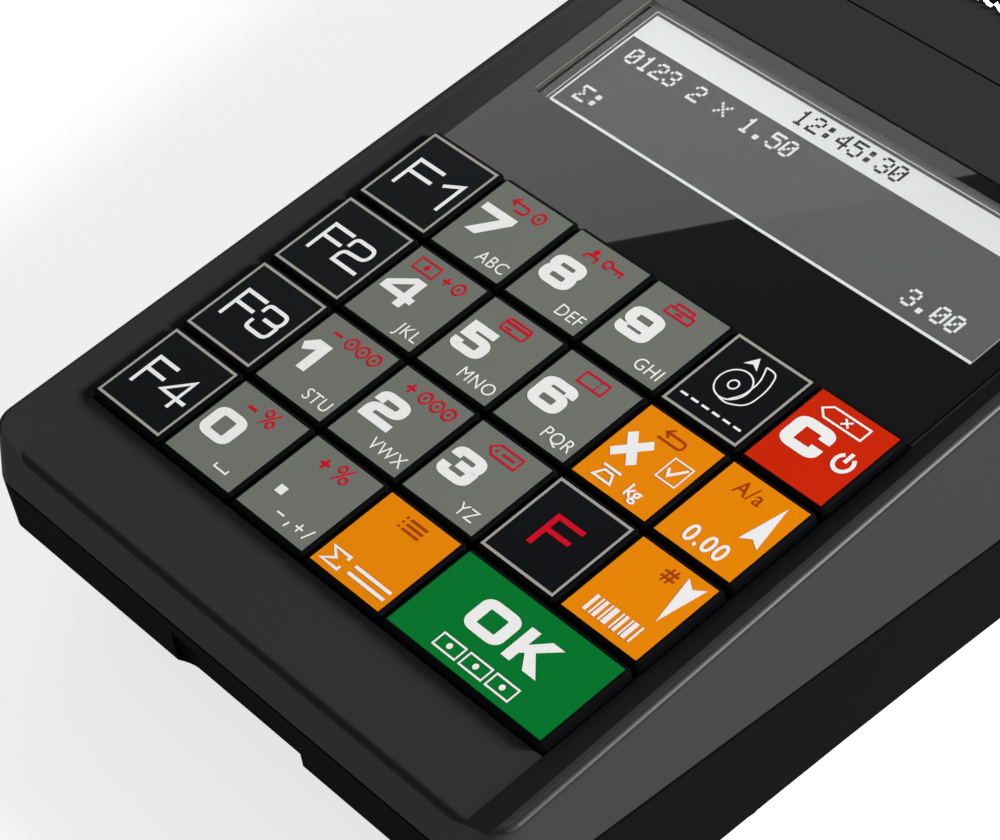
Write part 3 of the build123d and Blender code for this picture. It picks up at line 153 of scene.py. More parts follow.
# ---------------------------------------------------------------- battery and contacts
# A flat lithium pack in a shrunk blue sleeve, one block in its box above the battery door, and its
# three gold-plated contact strips.
def wrapped_film(name, colour):
    """Shrunk sleeve: soft wrinkles a few millimetres apart."""
    material, surface, links = new_material(name, {"Roughness": 0.3})
    wrinkles = noise(material, 260.0)
    links.new(mixed(material, wrinkles, shade(colour, 0.8), shade(colour, 1.15)),
              surface["Base Color"])
    links.new(relief(material, wrinkles, 0.4, 0.08), surface["Normal"])
    return material


finish(wrapped_film("battery_sleeve", (0.02, 0.07, 0.16)), "battery_pack")
finish(turned_metal("contact_gold", (0.78, 0.57, 0.25), 0.28), "battery_contacts")


# ---------------------------------------------------------------- main board
# One glass-epoxy board under the keypad and display, screwed to posts of the case. Green solder
# mask lies over a maze of copper tracks, which show as slightly paler lines.
def solder_mask():
    material, surface, links = new_material("solder_mask", {"Roughness": 0.32})
    place = add_node(material, "ShaderNodeTexCoord")
    tracks = add_node(material, "ShaderNodeTexBrick", {
        "Scale": 160.0, "Mortar Size": 0.035, "Color1": (0.012, 0.075, 0.030, 1),
        "Color2": (0.010, 0.062, 0.026, 1), "Mortar": (0.030, 0.150, 0.060, 1)})
    links.new(place.outputs["Object"], tracks.inputs["Vector"])
    links.new(tracks.outputs["Color"], surface["Base Color"])
    return material


finish(solder_mask(), "main_board")


# ---------------------------------------------------------------- thermal printer
# Bent steel side plates carry the motor, the gears and the sprung head; the rubber platen hangs in
# the lid. Plates, shaft, springs and motor can are steel, the gears are moulded acetal and the
# pinion is brass.
finish(turned_metal("plate_steel", (0.50, 0.50, 0.50), 0.38, scratch=0.4, stretch=(1, 10, 1)),
       "printer_frame")
finish(turned_metal("motor_can", (0.60, 0.59, 0.57), 0.30), "stepper_motor")
finish(turned_metal("ground_shaft", (0.68, 0.68, 0.68), 0.16, scratch=0.08, stretch=(14, 1, 1)),
       "platen_shaft")
finish(turned_metal("spring_steel", (0.42, 0.42, 0.43), 0.30), "head_spring", "release_spring")
finish(turned_metal("head_aluminium", (0.72, 0.73, 0.74), 0.36, scratch=0.5, stretch=(10, 1, 1)),
       "thermal_head")
finish(turned_metal("pinion_brass", (0.72, 0.50, 0.20), 0.30), "motor_pinion")
finish(moulded_plastic("acetal", (0.72, 0.71, 0.67), 0.36, grain=0.3, depth=0.004, edge=0.05),
       "platen_gear", "idler_gear", "platen_bushes")
finish(moulded_plastic("platen_rubber", (0.020, 0.020, 0.021), 0.60, grain=0.06, depth=0.006),
       "platen_roller")
finish(turned_metal("tear_steel", (0.62, 0.62, 0.61), 0.24, scratch=0.3, stretch=(10, 1, 1)),
       "tear_bar")


# ---------------------------------------------------------------- paper roll and its bucket
# A roll of thermal paper on a card core lies loose in a black moulded bucket under the lid. The
# turns of the paper show as fine rings on both its ends.
def wound_paper():
    lowest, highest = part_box("paper_roll")
    axis_y, axis_z = (lowest.y + highest.y) / 2, (lowest.z + highest.z) / 2
    material, surface, links = new_material("wound_paper", {"Roughness": 0.62})
    place = add_node(material, "ShaderNodeTexCoord")
    about_axis = add_node(material, "ShaderNodeMapping", {"Location": (0, -axis_y, -axis_z)})
    turns = add_node(material, "ShaderNodeTexWave", {"Scale": 700.0, "Distortion": 1.2},
                     wave_type="RINGS", rings_direction="X")
    links.new(place.outputs["Object"], about_axis.inputs["Vector"])
    links.new(about_axis.outputs["Vector"], turns.inputs["Vector"])
    links.new(mixed(material, turns.outputs["Fac"], (0.70, 0.70, 0.69, 1), (0.84, 0.84, 0.83, 1)),
              surface["Base Color"])
    links.new(relief(material, turns.outputs["Fac"], 0.25, 0.03), surface["Normal"])
    return material


finish(wound_paper(), "paper_roll")
finish(moulded_plastic("core_card", (0.36, 0.25, 0.15), 0.8, grain=0.25, depth=0.02), "paper_core")
finish(shell_black, "paper_bucket")


# ---------------------------------------------------------------- sockets in the left wall
# The low-voltage inlet is a black moulded barrel socket around its centre pin; the data socket
# beside it is a drawn steel shell.
finish(moulded_plastic("socket_black", (0.012, 0.012, 0.013), 0.38, depth=0.004), "power_jack")
finish(turned_metal("socket_shell", (0.60, 0.60, 0.59), 0.28), "usb_port")


# ---------------------------------------------------------------- keypad
# Hard glossy black caps slide in a black guide frame over a rubber contact mat. Each cap's top is
# covered by a colour panel, printed with white and red marks; black caps have a thin silver frame.
deck_slope = radians(6.5)
deck_up = Vector((0, -sin(deck_slope), cos(deck_slope)))
deck_rear = Vector((0, cos(deck_slope), sin(deck_slope)))

finish(moulded_plastic("contact_rubber", (0.028, 0.028, 0.030), 0.66, grain=0.2, depth=0.01),
       "keypad_mat")
finish(moulded_plastic("guide_black", (0.003, 0.003, 0.0032), 0.52, shine=0.003),
       "key_guide", "lcd_frame")


def top_face(node, right=Vector((1, 0, 0)), rear=deck_rear, up=deck_up):
    """Where the flat top of a piece lies: its middle, with X to the right and Y to the rear."""
    points = [v.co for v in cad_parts[node].data.vertices]
    level = max(p.dot(up) for p in points)
    same_level = 0.02 * mm
    rim = [p for p in points if p.dot(up) > level - same_level]
    across = [p.dot(right) for p in rim]
    along = [p.dot(rear) for p in rim]
    middle = (right * (min(across) + max(across)) / 2 + rear * (min(along) + max(along)) / 2
              + up * level)
    return Matrix.Translation(middle) @ Matrix((right, rear, up)).transposed().to_4x4()


cap_gloss = moulded_plastic("cap_gloss", (0.0030, 0.0032, 0.0036), 0.20, grain=0.5, depth=0.002,
                            edge=0.18, shine=0.006)


def printed_film(name, colour, roughness=0.42, shine=0.01):
    """A screen print: an even colour with a trace of the mesh that it was pressed through."""
    material, surface, links = new_material(name, {"Roughness": roughness,
                                                   "Specular IOR Level": shine})
    links.new(mixed(material, noise(material, 3800.0), shade(colour, 0.94), shade(colour, 1.06)),
              surface["Base Color"])
    return material


panel_grey = printed_film("panel_grey", (0.178, 0.187, 0.163))
panel_orange = printed_film("panel_orange", (0.870, 0.256, 0.0008))
panel_green = printed_film("panel_green", (0.0012, 0.190, 0.028))
panel_red = printed_film("panel_red", (0.640, 0.020, 0.0015))
panel_black = printed_film("panel_black", (0.0044, 0.0051, 0.0064), 0.30)
ink_white = printed_film("ink_white", (0.92, 0.92, 0.91))
ink_silver = printed_film("ink_silver", (0.39, 0.375, 0.33))
ink_red = printed_film("ink_red", (0.68, 0.004, 0.021))
ink_brown = printed_film("ink_brown", (0.42, 0.050, 0.006))

least_step = 0.004      # mm; points of a run that are nearer than this are one
corner_steps = 8
layer_rise = 0.003      # mm from one part of a print to the next, so that none share a surface
face_rise = 0.00004     # mm from one face of a part to the next


def rounded(run, radius, closed):
    """The run with its corners turned into arcs; a point's third number is its own radius."""
    line = []
    for i, corner in enumerate(run):
        here = Vector(corner[:2])
        reach = corner[2] if len(corner) == 3 else radius
        if not closed and i in (0, len(run) - 1) or reach == 0:
            line.append(here)
            continue
        back = Vector(run[i - 1][:2]) - here
        ahead = Vector(run[(i + 1) % len(run)][:2]) - here
        cut = min(reach, back.length / 2, ahead.length / 2)
        for step in range(corner_steps + 1):
            t = step / corner_steps
            line.append(here + back.normalized() * cut * (1 - t) ** 2
                        + ahead.normalized() * cut * t ** 2)
    return [p for i, p in enumerate(line) if i == 0 or (p - line[i - 1]).length > least_step]


def stroke(ink, run, width, radius=0.0, closed=False, stretch=1.0):
    """Adds a band of ink along a run of points, mm; stretch widens its upright parts."""
    line = rounded([(p[0] / stretch, *p[1:]) for p in run], radius, closed)
    if closed and (line[0] - line[-1]).length < least_step:
        line.pop()
    sharpest = 0.5      # keeps the outer corner of a tight turn from running away
    edges = []
    for i, here in enumerate(line):
        back = here - line[i - 1] if closed or i else line[1] - here
        ahead = line[(i + 1) % len(line)] - here if closed or i < len(line) - 1 else back
        way = (back.normalized() + ahead.normalized()).normalized()
        across = Vector((-way.y, way.x))
        reach = width / 2 / max(across.dot(Vector((-ahead.y, ahead.x)).normalized()), sharpest)
        edges.append([((here + across * side * reach).x * stretch,
                       (here + across * side * reach).y) for side in (1, -1)])
    spans = [(edges[i - 1], edges[i]) for i in range(0 if closed else 1, len(edges))]
    ink.append([[a[1], b[1], b[0], a[0]] for a, b in spans])


def patch(ink, *corners):
    """Adds one flat shape with these corners, mm, counter-clockwise."""
    ink.append([list(corners)])


def ring(ink, x, y, radius, width):
    """Adds a circle of ink; a width of the radius or more fills it."""
    sides = 28
    turn = [(cos(2 * pi * i / sides), sin(2 * pi * i / sides)) for i in range(sides)]
    if width >= radius:
        patch(ink, *[(x + radius * c, y + radius * s) for c, s in turn])
    else:
        stroke(ink, [(x + radius * c, y + radius * s) for c, s in turn], width, closed=True)


def lettering(ink, text, x, y, height, align="CENTER", weight=0.0, spread=1.0):
    """Adds plain capitals or figures whose base line starts, centres or ends at x, y."""
    capital_share = 0.73      # a capital's height over the font's size
    curve = bpy.data.curves.new("lettering", "FONT")
    curve.body = text
    curve.size = height / capital_share
    curve.align_x = align
    curve.offset = weight
    curve.space_character = spread
    curve.resolution_u = 4
    holder = bpy.data.objects.new("lettering", curve)
    shape = bpy.data.meshes.new_from_object(holder)
    ink.append([[(shape.vertices[v].co.x + x, shape.vertices[v].co.y + y) for v in face.vertices]
                for face in shape.polygons])
    bpy.data.objects.remove(holder)
    bpy.data.meshes.remove(shape)
    bpy.data.curves.remove(curve)


def print_ink(name, ink, material, place, body, above=0.05):
    """Lays the ink on a face as one piece, each part a hair above the one before."""
    points, faces = [], []
    for layer, band in enumerate(ink):
        for number, face in enumerate(band):
            level = above + layer_rise * layer + face_rise * number
            faces.append(list(range(len(points), len(points) + len(face))))
            points += [(x * mm, y * mm, level * mm) for x, y in face]
    mesh = bpy.data.meshes.new(name)
    mesh.from_pydata(points, [], faces)
    mesh.materials.append(material)
    print_piece = bpy.data.objects.new(name, mesh)
    bpy.context.scene.collection.objects.link(print_piece)
    print_piece.matrix_world = place
    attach(print_piece, body)


def figure(ink, char, left, bottom, wide, high, bar, radius, stretch=1.0):
    """Adds one squarish figure or letter, wide and high over all, its level bars that thick."""
    side = bar * stretch
    shapes = {
        "0": [("closed", (0, 0), (1, 0), (1, 1), (0, 1))],
        "1": [("open", (0.12, 0.66), (0.86, 1, 0), (0.86, -0.16))],
        "2": [("open", (0, 0.62), (0, 1), (1, 1), (1, 0.5), (0, 0.44), (0, 0, 0), (1.2, 0))],
        "3": [("open", (0, 0.68), (0, 1), (1, 1), (1, 0.51), (0.30, 0.51)),
              ("open", (0.9, 0.51, 0), (1, 0.51), (1, 0), (0, 0), (0, 0.33))],
        "4": [("open", (1.2, 0.24), (0, 0.24, 0), (0.76, 1, 0), (0.76, -0.14))],
        "5": [("open", (0.98, 1), (0.04, 1, 0), (0.04, 0.58, 0), (1, 0.58), (1, 0), (0, 0),
               (0, 0.28))],
        "6": [("open", (1, 0.72), (1, 1), (0, 1), (0, 0), (1, 0), (1, 0.57), (0.2, 0.57))],
        "8": [("closed", (0, 0.52), (1, 0.52), (1, 1), (0, 1)),
              ("closed", (0, 0), (1, 0), (1, 0.52), (0, 0.52))],
        "9": [("open", (0, 0.28), (0, 0), (1, 0), (1, 1), (0, 1), (0, 0.43), (0.8, 0.43))],
        "C": [("open", (1, 0.64), (1, 1), (0, 1), (0, 0), (1, 0), (1, 0.36))],
        "F": [("open", (0, -0.16), (0, 1, 0), (1.14, 1)), ("open", (0, 0.49), (1.08, 0.49))],
    }
    shapes["O"] = shapes["0"]
    for kind, *run in shapes[char]:
        placed = [(left + side / 2 + p[0] * (wide - side),
                   bottom + bar / 2 + p[1] * (high - bar), *p[2:]) for p in run]
        stroke(ink, placed, bar, radius, kind == "closed", stretch)


cap_width, panel_size = 12.6, 11.55
silver_inset, silver_width = 0.18, 0.34
marks_rise = 3.9
big_left, big_base, big_wide, big_high = -5.05, -2.2, 5.1, 4.35


def big(ink, char):
    """The bold extended figure of a number key."""
    if char == "1":
        patch(ink, (-5.2, 0.85), (-4.55, -0.15), (-3.05, 0.8), (-3.05, -2.2), (-1.6, -2.2),
              (-1.6, 2.15), (-3.85, 2.15))
    elif char == "4":
        patch(ink, (-1.7, -2.2), (-0.45, -2.2), (-0.45, 2.2), (-1.7, 2.2))
        patch(ink, (-5.1, -1.2), (-1.7, -1.2), (-1.7, -0.3), (-4.0, -0.3), (-1.7, 1.35),
              (-1.7, 2.2), (-2.1, 2.2), (-5.1, 0.0))
        patch(ink, (-0.45, -1.2), (0.3, -1.2), (0.3, -0.3), (-0.45, -0.3))
    elif char == "7":
        patch(ink, (-5.0, 1.05), (-1.55, 1.05), (-4.2, -2.2), (-2.4, -2.2), (0.35, 1.25),
              (0.35, 2.15), (-5.0, 2.15))
    else:
        figure(ink, char, big_left, big_base, big_wide, big_high, bar=1.05, radius=0.75,
               stretch=1.42)


def thin(ink, char, left, wide):
    """The thin wide figure of a function key."""
    figure(ink, char, left, big_base, wide, big_high, bar=0.52, radius=1.15)


def coin(ink, x, y):
    ring(ink, x, y, 0.78, 0.24)
    ring(ink, x, y, 0.22, 0.3)


def note(ink, x, y, wide=3.4, high=1.7):
    stroke(ink, [(x - wide / 2, y - high / 2), (x + wide / 2, y - high / 2),
                 (x + wide / 2, y + high / 2), (x - wide / 2, y + high / 2)], 0.24, closed=True)
    ring(ink, x, y, 0.38, 0.5)


def per_cent(ink, x, y):
    ring(ink, x - 0.62, y + 0.55, 0.46, 0.24)
    ring(ink, x + 0.62, y - 0.55, 0.46, 0.24)
    stroke(ink, [(x - 0.75, y - 1.15), (x + 0.75, y + 1.15)], 0.26)


def red_marks(key):
    """The small red marks along a cap's rear edge."""
    ink, y = [], marks_rise
    if key == "7":      # return
        stroke(ink, [(-2.6, y + 0.35), (0.2, y + 0.35), (0.2, y - 0.75), (-1.5, y - 0.75)],
               0.28, 0.5)
        stroke(ink, [(-1.9, y + 0.95), (-2.6, y + 0.35), (-1.9, y - 0.25)], 0.28)
        coin(ink, 2.1, y)
    elif key == "8":    # operator
        ring(ink, -1.6, y + 0.5, 0.40, 0.5)
        stroke(ink, [(-2.5, y - 0.85), (-2.5, y - 0.1), (-0.7, y - 0.1), (-0.7, y - 0.85)],
               0.30, 0.6)
        ring(ink, 0.9, y, 0.55, 0.26)
        stroke(ink, [(1.4, y), (3.3, y), (3.3, y - 0.65)], 0.28)
        stroke(ink, [(2.6, y), (2.6, y - 0.5)], 0.28)
    elif key == "9":    # drawer
        stroke(ink, [(-1.9, y - 0.85), (1.9, y - 0.85), (1.9, y + 0.15), (-1.9, y + 0.15)],
               0.26, closed=True)
        stroke(ink, [(-1.3, y + 0.25), (-1.3, y + 0.85), (1.3, y + 0.85), (1.3, y + 0.25)],
               0.26)
        stroke(ink, [(-0.5, y - 0.35), (0.5, y - 0.35)], 0.28)
    elif key == "4":    # ways to pay
        note(ink, -2.5, y)
        stroke(ink, [(0.4, y), (1.6, y)], 0.28)
        stroke(ink, [(1.0, y + 0.6), (1.0, y - 0.6)], 0.28)
        coin(ink, 3.1, y)
    elif key == "5":    # card
        stroke(ink, [(-1.9, y - 0.85), (1.9, y - 0.85), (1.9, y + 0.85), (-1.9, y + 0.85)],
               0.26, 0.4, closed=True)
        stroke(ink, [(-1.8, y + 0.3), (1.8, y + 0.3)], 0.36)
        stroke(ink, [(-1.4, y - 0.4), (-0.3, y - 0.4)], 0.22)
    elif key == "6":    # voucher
        stroke(ink, [(-1.9, y - 0.8), (1.9, y - 0.8), (1.9, y + 0.8), (-1.9, y + 0.8)], 0.26,
               closed=True)
        for step in range(3):
            stroke(ink, [(0.7, y - 0.6 + 0.5 * step), (0.7, y - 0.35 + 0.5 * step)], 0.22)
    elif key in ("1", "2"):    # amount off, amount on
        stroke(ink, [(-3.4, y), (-2.0, y)], 0.32)
        if key == "2":
            stroke(ink, [(-2.7, y + 0.7), (-2.7, y - 0.7)], 0.32)
        coin(ink, -0.3, y)
        coin(ink, 1.7, y)
        coin(ink, 3.7, y)
    elif key == "3":    # name tag
        stroke(ink, [(-2.2, y), (-1.3, y + 0.8), (2.4, y + 0.8), (2.4, y - 0.8),
                     (-1.3, y - 0.8)], 0.26, closed=True)
        ring(ink, -1.1, y, 0.2, 0.3)
        stroke(ink, [(-0.2, y), (1.7, y)], 0.26)
    elif key in ("0", "point"):    # per cent off, per cent on
        stroke(ink, [(-2.5, y - 0.2), (-1.1, y - 0.2)], 0.38)
        if key == "point":
            stroke(ink, [(-1.8, y + 0.5), (-1.8, y - 0.9)], 0.38)
        per_cent(ink, 1.1, y)
    elif key == "multiply":    # undo
        stroke(ink, [(-1.9, y - 0.75), (-0.2, y - 0.75), (1.6, y - 0.75), (1.6, y + 0.35),
                     (-1.4, y + 0.35)], 0.28, 0.6)
        stroke(ink, [(-0.8, y + 0.95), (-1.5, y + 0.35), (-0.8, y - 0.25)], 0.28)
    elif key == "up":
        lettering(ink, "A/a", -1.2, y - 0.95, 1.95, weight=0.01, spread=1.1)
    elif key == "down":
        for step in (-0.35, 0.35):
            stroke(ink, [(0.4 + step - 0.15, y - 0.95), (0.4 + step + 0.15, y + 0.95)], 0.25)
            stroke(ink, [(-0.6, y + step), (1.4, y + step)], 0.25)
    elif key == "total":    # list
        for step in (-0.7, 0, 0.7):
            stroke(ink, [(-1.7, y + step), (-1.4, y + step)], 0.28)
            stroke(ink, [(-1.0, y + step), (1.7, y + step)], 0.28)
    elif key == "function":
        figure(ink, "F", -2.2, -2.15, 4.3, 4.4, 0.62, 0, stretch=1.25)
    return ink


def white_marks(key):
    """The white figure, letters and signs of a cap."""
    ink = []
    groups = {"7": "ABC", "8": "DEF", "9": "GHI", "4": "JKL", "5": "MNO", "6": "PQR",
              "1": "STU", "2": "VWX", "3": "YZ"}
    if key in groups:
        big(ink, key)
        lettering(ink, groups[key], 5.25 if key != "3" else 4.4, -4.75, 1.72, "RIGHT",
                  spread=1.06)
    elif key == "0":
        big(ink, "0")
        stroke(ink, [(1.35, -3.8), (1.35, -4.35), (3.4, -4.35), (3.4, -3.8)], 0.24)
    elif key == "point":
        patch(ink, (-3.45, -2.3), (-2.2, -2.3), (-2.2, -1.15), (-3.45, -1.15))
        stroke(ink, [(-0.75, -3.95), (0.45, -3.95)], 0.24)
        stroke(ink, [(1.55, -4.1), (1.4, -4.9)], 0.26)
        stroke(ink, [(2.5, -3.95), (3.7, -3.95)], 0.24)
        stroke(ink, [(3.1, -3.35), (3.1, -4.55)], 0.24)
        stroke(ink, [(4.35, -4.75), (4.95, -3.15)], 0.24)
    elif key in ("f1", "f2", "f3", "f4"):
        thin(ink, "F", -4.0, 4.3 if key == "f1" else 3.55)
        thin(ink, key[1], 1.1 if key == "f1" else 0.0, 3.6 if key == "f1" else 4.05)
    elif key == "feed":    # a roll with its free end and the way it runs
        ring(ink, -0.85, 0.25, 2.15, 0.2)
        ring(ink, -0.85, 0.25, 0.62, 0.2)
        stroke(ink, [(0.25, 4.15), (1.9, 4.15), (2.75, 1.9), (2.6, -1.1), (0.4, -2.15),
                     (-0.9, -1.95)], 0.2, 1.2)
        stroke(ink, [(0.25, 4.15), (1.25, 2.2), (1.15, -0.2), (0.2, -1.6)], 0.2, 1.0)
        patch(ink, (-2.3, 3.05), (-1.25, 3.55), (-0.2, 3.05), (-1.25, 4.65))
        for step in range(6):
            stroke(ink, [(-4.7 + 1.65 * step, -3.9), (-3.6 + 1.65 * step, -3.9)], 0.3)
    elif key == "clear":
        figure(ink, "C", -5.0, -2.2, 5.6, 4.4, 1.2, 0.7, stretch=1.4)
        stroke(ink, [(-3.9, 3.85), (-2.9, 4.7), (2.6, 4.7), (2.6, 3.0), (-2.9, 3.0)], 0.26,
               closed=True)
        for tilt in (-1, 1):
            stroke(ink, [(-0.75, 3.85 - 0.45 * tilt), (0.35, 3.85 + 0.45 * tilt)], 0.26)
        turn = [radians(125 + 290 * i / 20) for i in range(21)]
        stroke(ink, [(3.45 + 1.15 * cos(t), -0.25 + 1.15 * sin(t)) for t in turn], 0.5)
        stroke(ink, [(3.45, -0.15), (3.45, 1.3)], 0.52)
    elif key == "multiply":
        for tilt in (-1, 1):
            stroke(ink, [(-4.45, 0.25 - 1.7 * tilt), (-1.15, 0.25 + 1.7 * tilt)], 1.2)
        stroke(ink, [(1.95, -0.75), (4.85, -0.75), (4.85, 2.2), (1.95, 2.2)], 0.2, closed=True)
        stroke(ink, [(2.45, 0.85), (3.05, 0.0), (4.45, 1.8)], 0.36)
        # weighing scale
        stroke(ink, [(-3.6, -4.75), (-0.9, -4.75), (-1.6, -3.6), (-2.9, -3.6)], 0.3, closed=True)
        stroke(ink, [(-3.6, -3.05), (-0.9, -3.05)], 0.32)
        lettering(ink, "kg", 2.0, -4.65, 1.75, weight=0.05)
    elif key == "up":
        patch(ink, (2.15, -1.1), (3.5, -0.35), (4.85, -1.1), (3.5, 4.85))
        lettering(ink, "0.00", 0.0, -4.75, 2.3, weight=0.06, spread=1.12)
    elif key == "down":
        patch(ink, (2.15, 5.0), (3.6, -1.15), (4.9, 5.0), (3.55, 4.1))
        bars = ((-3.5, 0.5), (-2.7, 0.25), (-2.1, 0.5), (-1.3, 0.25), (-0.6, 0.7), (0.4, 0.25),
                (1.0, 0.45), (1.8, 0.25), (2.4, 0.6), (3.3, 0.3))
        for place, wide in bars:
            stroke(ink, [(place, -4.75), (place, -2.45)], wide)
    elif key == "total":
        stroke(ink, [(-2.2, -3.45), (-2.2, -2.95), (-4.9, -2.95), (-3.5, -3.95), (-4.9, -4.95),
                     (-2.2, -4.95), (-2.2, -4.45)], 0.36)
        for level in (-3.4, -4.45):
            stroke(ink, [(-0.9, level), (5.1, level)], 0.42)
    elif key == "ok":
        figure(ink, "O", -6.0, -1.15, 5.85, 4.45, 1.15, 0.75, stretch=1.35)
        patch(ink, (0.7, -1.15), (2.1, -1.15), (2.1, 3.3), (0.7, 3.3))
        patch(ink, (2.1, 0.15), (2.6, 0.55), (4.1, -1.15), (6.2, -1.15), (3.55, 1.25),
              (5.85, 3.3), (4.0, 3.3), (2.1, 1.45))
        for place in (-4.2, 0.0, 4.2):
            note(ink, place, -3.9, 3.5, 1.75)
    return ink


silver_framed = ("f1", "f2", "f3", "f4", "feed", "function")
panels = {"multiply": panel_orange, "up": panel_orange, "down": panel_orange,
          "total": panel_orange, "clear": panel_red, "ok": panel_green,
          **{key: panel_black for key in silver_framed}}

for node in [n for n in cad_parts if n.startswith("key_") and n != "key_guide"]:
    key = node[4:]
    finish(cap_gloss, node)
    place = top_face(node)
    lowest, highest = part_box(node)
    half_wide = panel_size / 2 + ((highest.x - lowest.x) / mm - cap_width) / 2
    half_long = panel_size / 2
    panel = panels.get(key, panel_grey)
    field = []
    stroke(field, [(-half_wide, 0), (half_wide, 0)], 2 * half_long)
    print_ink(node + "_panel", field, panel, place, node, above=0.02)
    if key in silver_framed:
        line_x, line_y = half_wide - silver_inset, half_long - silver_inset
        edge_line = []
        stroke(edge_line, [(-line_x, -line_y), (line_x, -line_y), (line_x, line_y),
                           (-line_x, line_y)], silver_width, closed=True)
        print_ink(node + "_silver_line", edge_line, ink_silver, place, node)
    marks = white_marks(key)
    if marks:
        print_ink(node + "_white_marks", marks, ink_white, place, node)
    marks = red_marks(key)
    if marks:
        ink = ink_brown if panel is panel_orange else ink_red
        print_ink(node + "_red_marks", marks, ink, place, node)


# ---------------------------------------------------------------- operator's display
# A backlit grey liquid crystal module lies in a black frame under a flat window. The window is one
# clear plate; its glossy black border is an opaque print on the front, and the picture is dots of
# light. The plate's IOR stands in for acrylic's 1.49: it is far lower, so that it hardly mirrors.
def clear_acrylic(name):
    """A clear plate with a faint unevenness of tint."""
    material, surface, links = new_material(
        name, {"Roughness": 0.0, "Transmission Weight": 1.0, "IOR": 1.04})
    tint = mixed(material, noise(material, 40.0), (0.95, 0.955, 0.96, 1), (0.97, 0.97, 0.97, 1))
    links.new(tint, surface["Base Color"])
    return material


def lit_film(name, level, glow):
    """A backlit grey film: its own level in daylight and a steady glow, both a little uneven."""
    material, surface, links = new_material(
        name, {"Roughness": 0.04, "Specular IOR Level": 0.007, "Emission Strength": 1.0})
    cells = noise(material, 30.0)
    for target, grey in (("Base Color", level), ("Emission Color", glow)):
        links.new(mixed(material, cells, shade((grey,) * 3, 0.93), shade((grey,) * 3, 1.07)),
                  surface[target])
    return material


window_clear = clear_acrylic("window_clear")
finish(window_clear, "display_lens")
glass_grey = lit_film("glass_grey", 0.005, 0.115)
finish(glass_grey, "lcd_module")
border_gloss = printed_film("border_gloss", (0.0022, 0.0022, 0.0024), 0.012, shine=0.066)
dots_light = lit_film("dots_light", 0.05, 0.74)

lens_place = top_face("display_lens")
lens_low, lens_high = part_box("display_lens")
lens_half_wide = (lens_high.x - lens_low.x) / 2 / mm
lens_half_long = 16.55
window_half_wide, window_half_long, window_rise = 35.55, 9.525, 5.075

frame_print = []
side_band = lens_half_wide - window_half_wide
front_band = window_rise - window_half_long + lens_half_long
rear_band = lens_half_long - window_rise - window_half_long
for side in (-1, 1):
    middle = side * (window_half_wide + side_band / 2)
    stroke(frame_print, [(middle, -lens_half_long), (middle, lens_half_long)], side_band)
for y, band in ((-lens_half_long + front_band / 2, front_band),
                (lens_half_long - rear_band / 2, rear_band)):
    stroke(frame_print, [(-window_half_wide, y), (window_half_wide, y)], band)
print_ink("display_lens_border", frame_print, border_gloss, lens_place, "case",
          above=0.02)

line_width = 0.14
window_line = []
for side in (-1, 1):
    x = side * (window_half_wide + line_width / 2)
    stroke(window_line, [(x, window_rise - window_half_long), (x, window_rise + window_half_long)],
           line_width)
print_ink("display_lens_line", window_line, ink_silver, lens_place, "case")

# a grey ring on the plate's back fills what shows between the picture and the border
lens_depth = 1.42
ring_half_wide, ring_front, ring_rear, ring_width = 36.68, -5.5, 15.2, 0.66
rear_half_wide, rear_width = 36.9, 1.5
window_ring = []
stroke(window_ring, [(-ring_half_wide, ring_front), (ring_half_wide, ring_front),
                     (ring_half_wide, ring_rear), (-ring_half_wide, ring_rear)],
       ring_width, closed=True)
stroke(window_ring, [(-rear_half_wide, ring_rear), (rear_half_wide, ring_rear)], rear_width)
print_ink("display_lens_ring", window_ring, printed_film("ring_grey", (0.24, 0.24, 0.24)),
          lens_place, "case", above=-lens_depth)

picture_place = top_face("lcd_module") @ Matrix.Translation((0.1 * mm, 0.5 * mm, 0))
picture_left, picture_right = -34.85, 34.85
header_rear, header_front = 9.2, 5.1
foot_line, foot_width, edge_width = -8.2, 0.5, 0.28
outline_gap, outline_rear, outline_front, outline_width = 0.6, 9.7, -8.45, 0.11
figures_left, sum_base = -32.8, -6.65

dot_shapes = {
    "0": "01110 10001 10011 10101 11001 10001 01110",
    "1": "00100 01100 00100 00100 00100 00100 01110",
    "2": "01110 10001 00001 00110 01000 10000 11111",
    "3": "01110 10001 00001 00110 00001 10001 01110",
    "4": "00010 00110 01010 10010 11111 00010 00010",
    "5": "11111 10000 11110 00001 00001 10001 01110",
    "x": "00000 10001 01010 00100 01010 10001 00000",
    ".": "00000 00000 00000 00000 00000 01100 01100",
    ":": "00000 01100 01100 00000 01100 01100 00000",
    "s": "11111 10000 01000 00100 01000 10000 11111",
    " ": "00000 00000 00000 00000 00000 00000 00000"}


def dot_text(ink, text, left, base, dot=0.367):
    """Adds a line of five-by-seven dot figures; each row of joined dots is one band."""
    for place, char in enumerate(text):
        for row, bits in enumerate(dot_shapes[char].split()):
            level = base + (6.5 - row) * dot
            start = None
            for column, bit in enumerate(bits + "0"):
                if bit == "1" and start is None:
                    start = column
                elif bit == "0" and start is not None:
                    first = left + (6 * place + start) * dot
                    stroke(ink, [(first, level), (left + (6 * place + column) * dot, level)], dot)
                    start = None


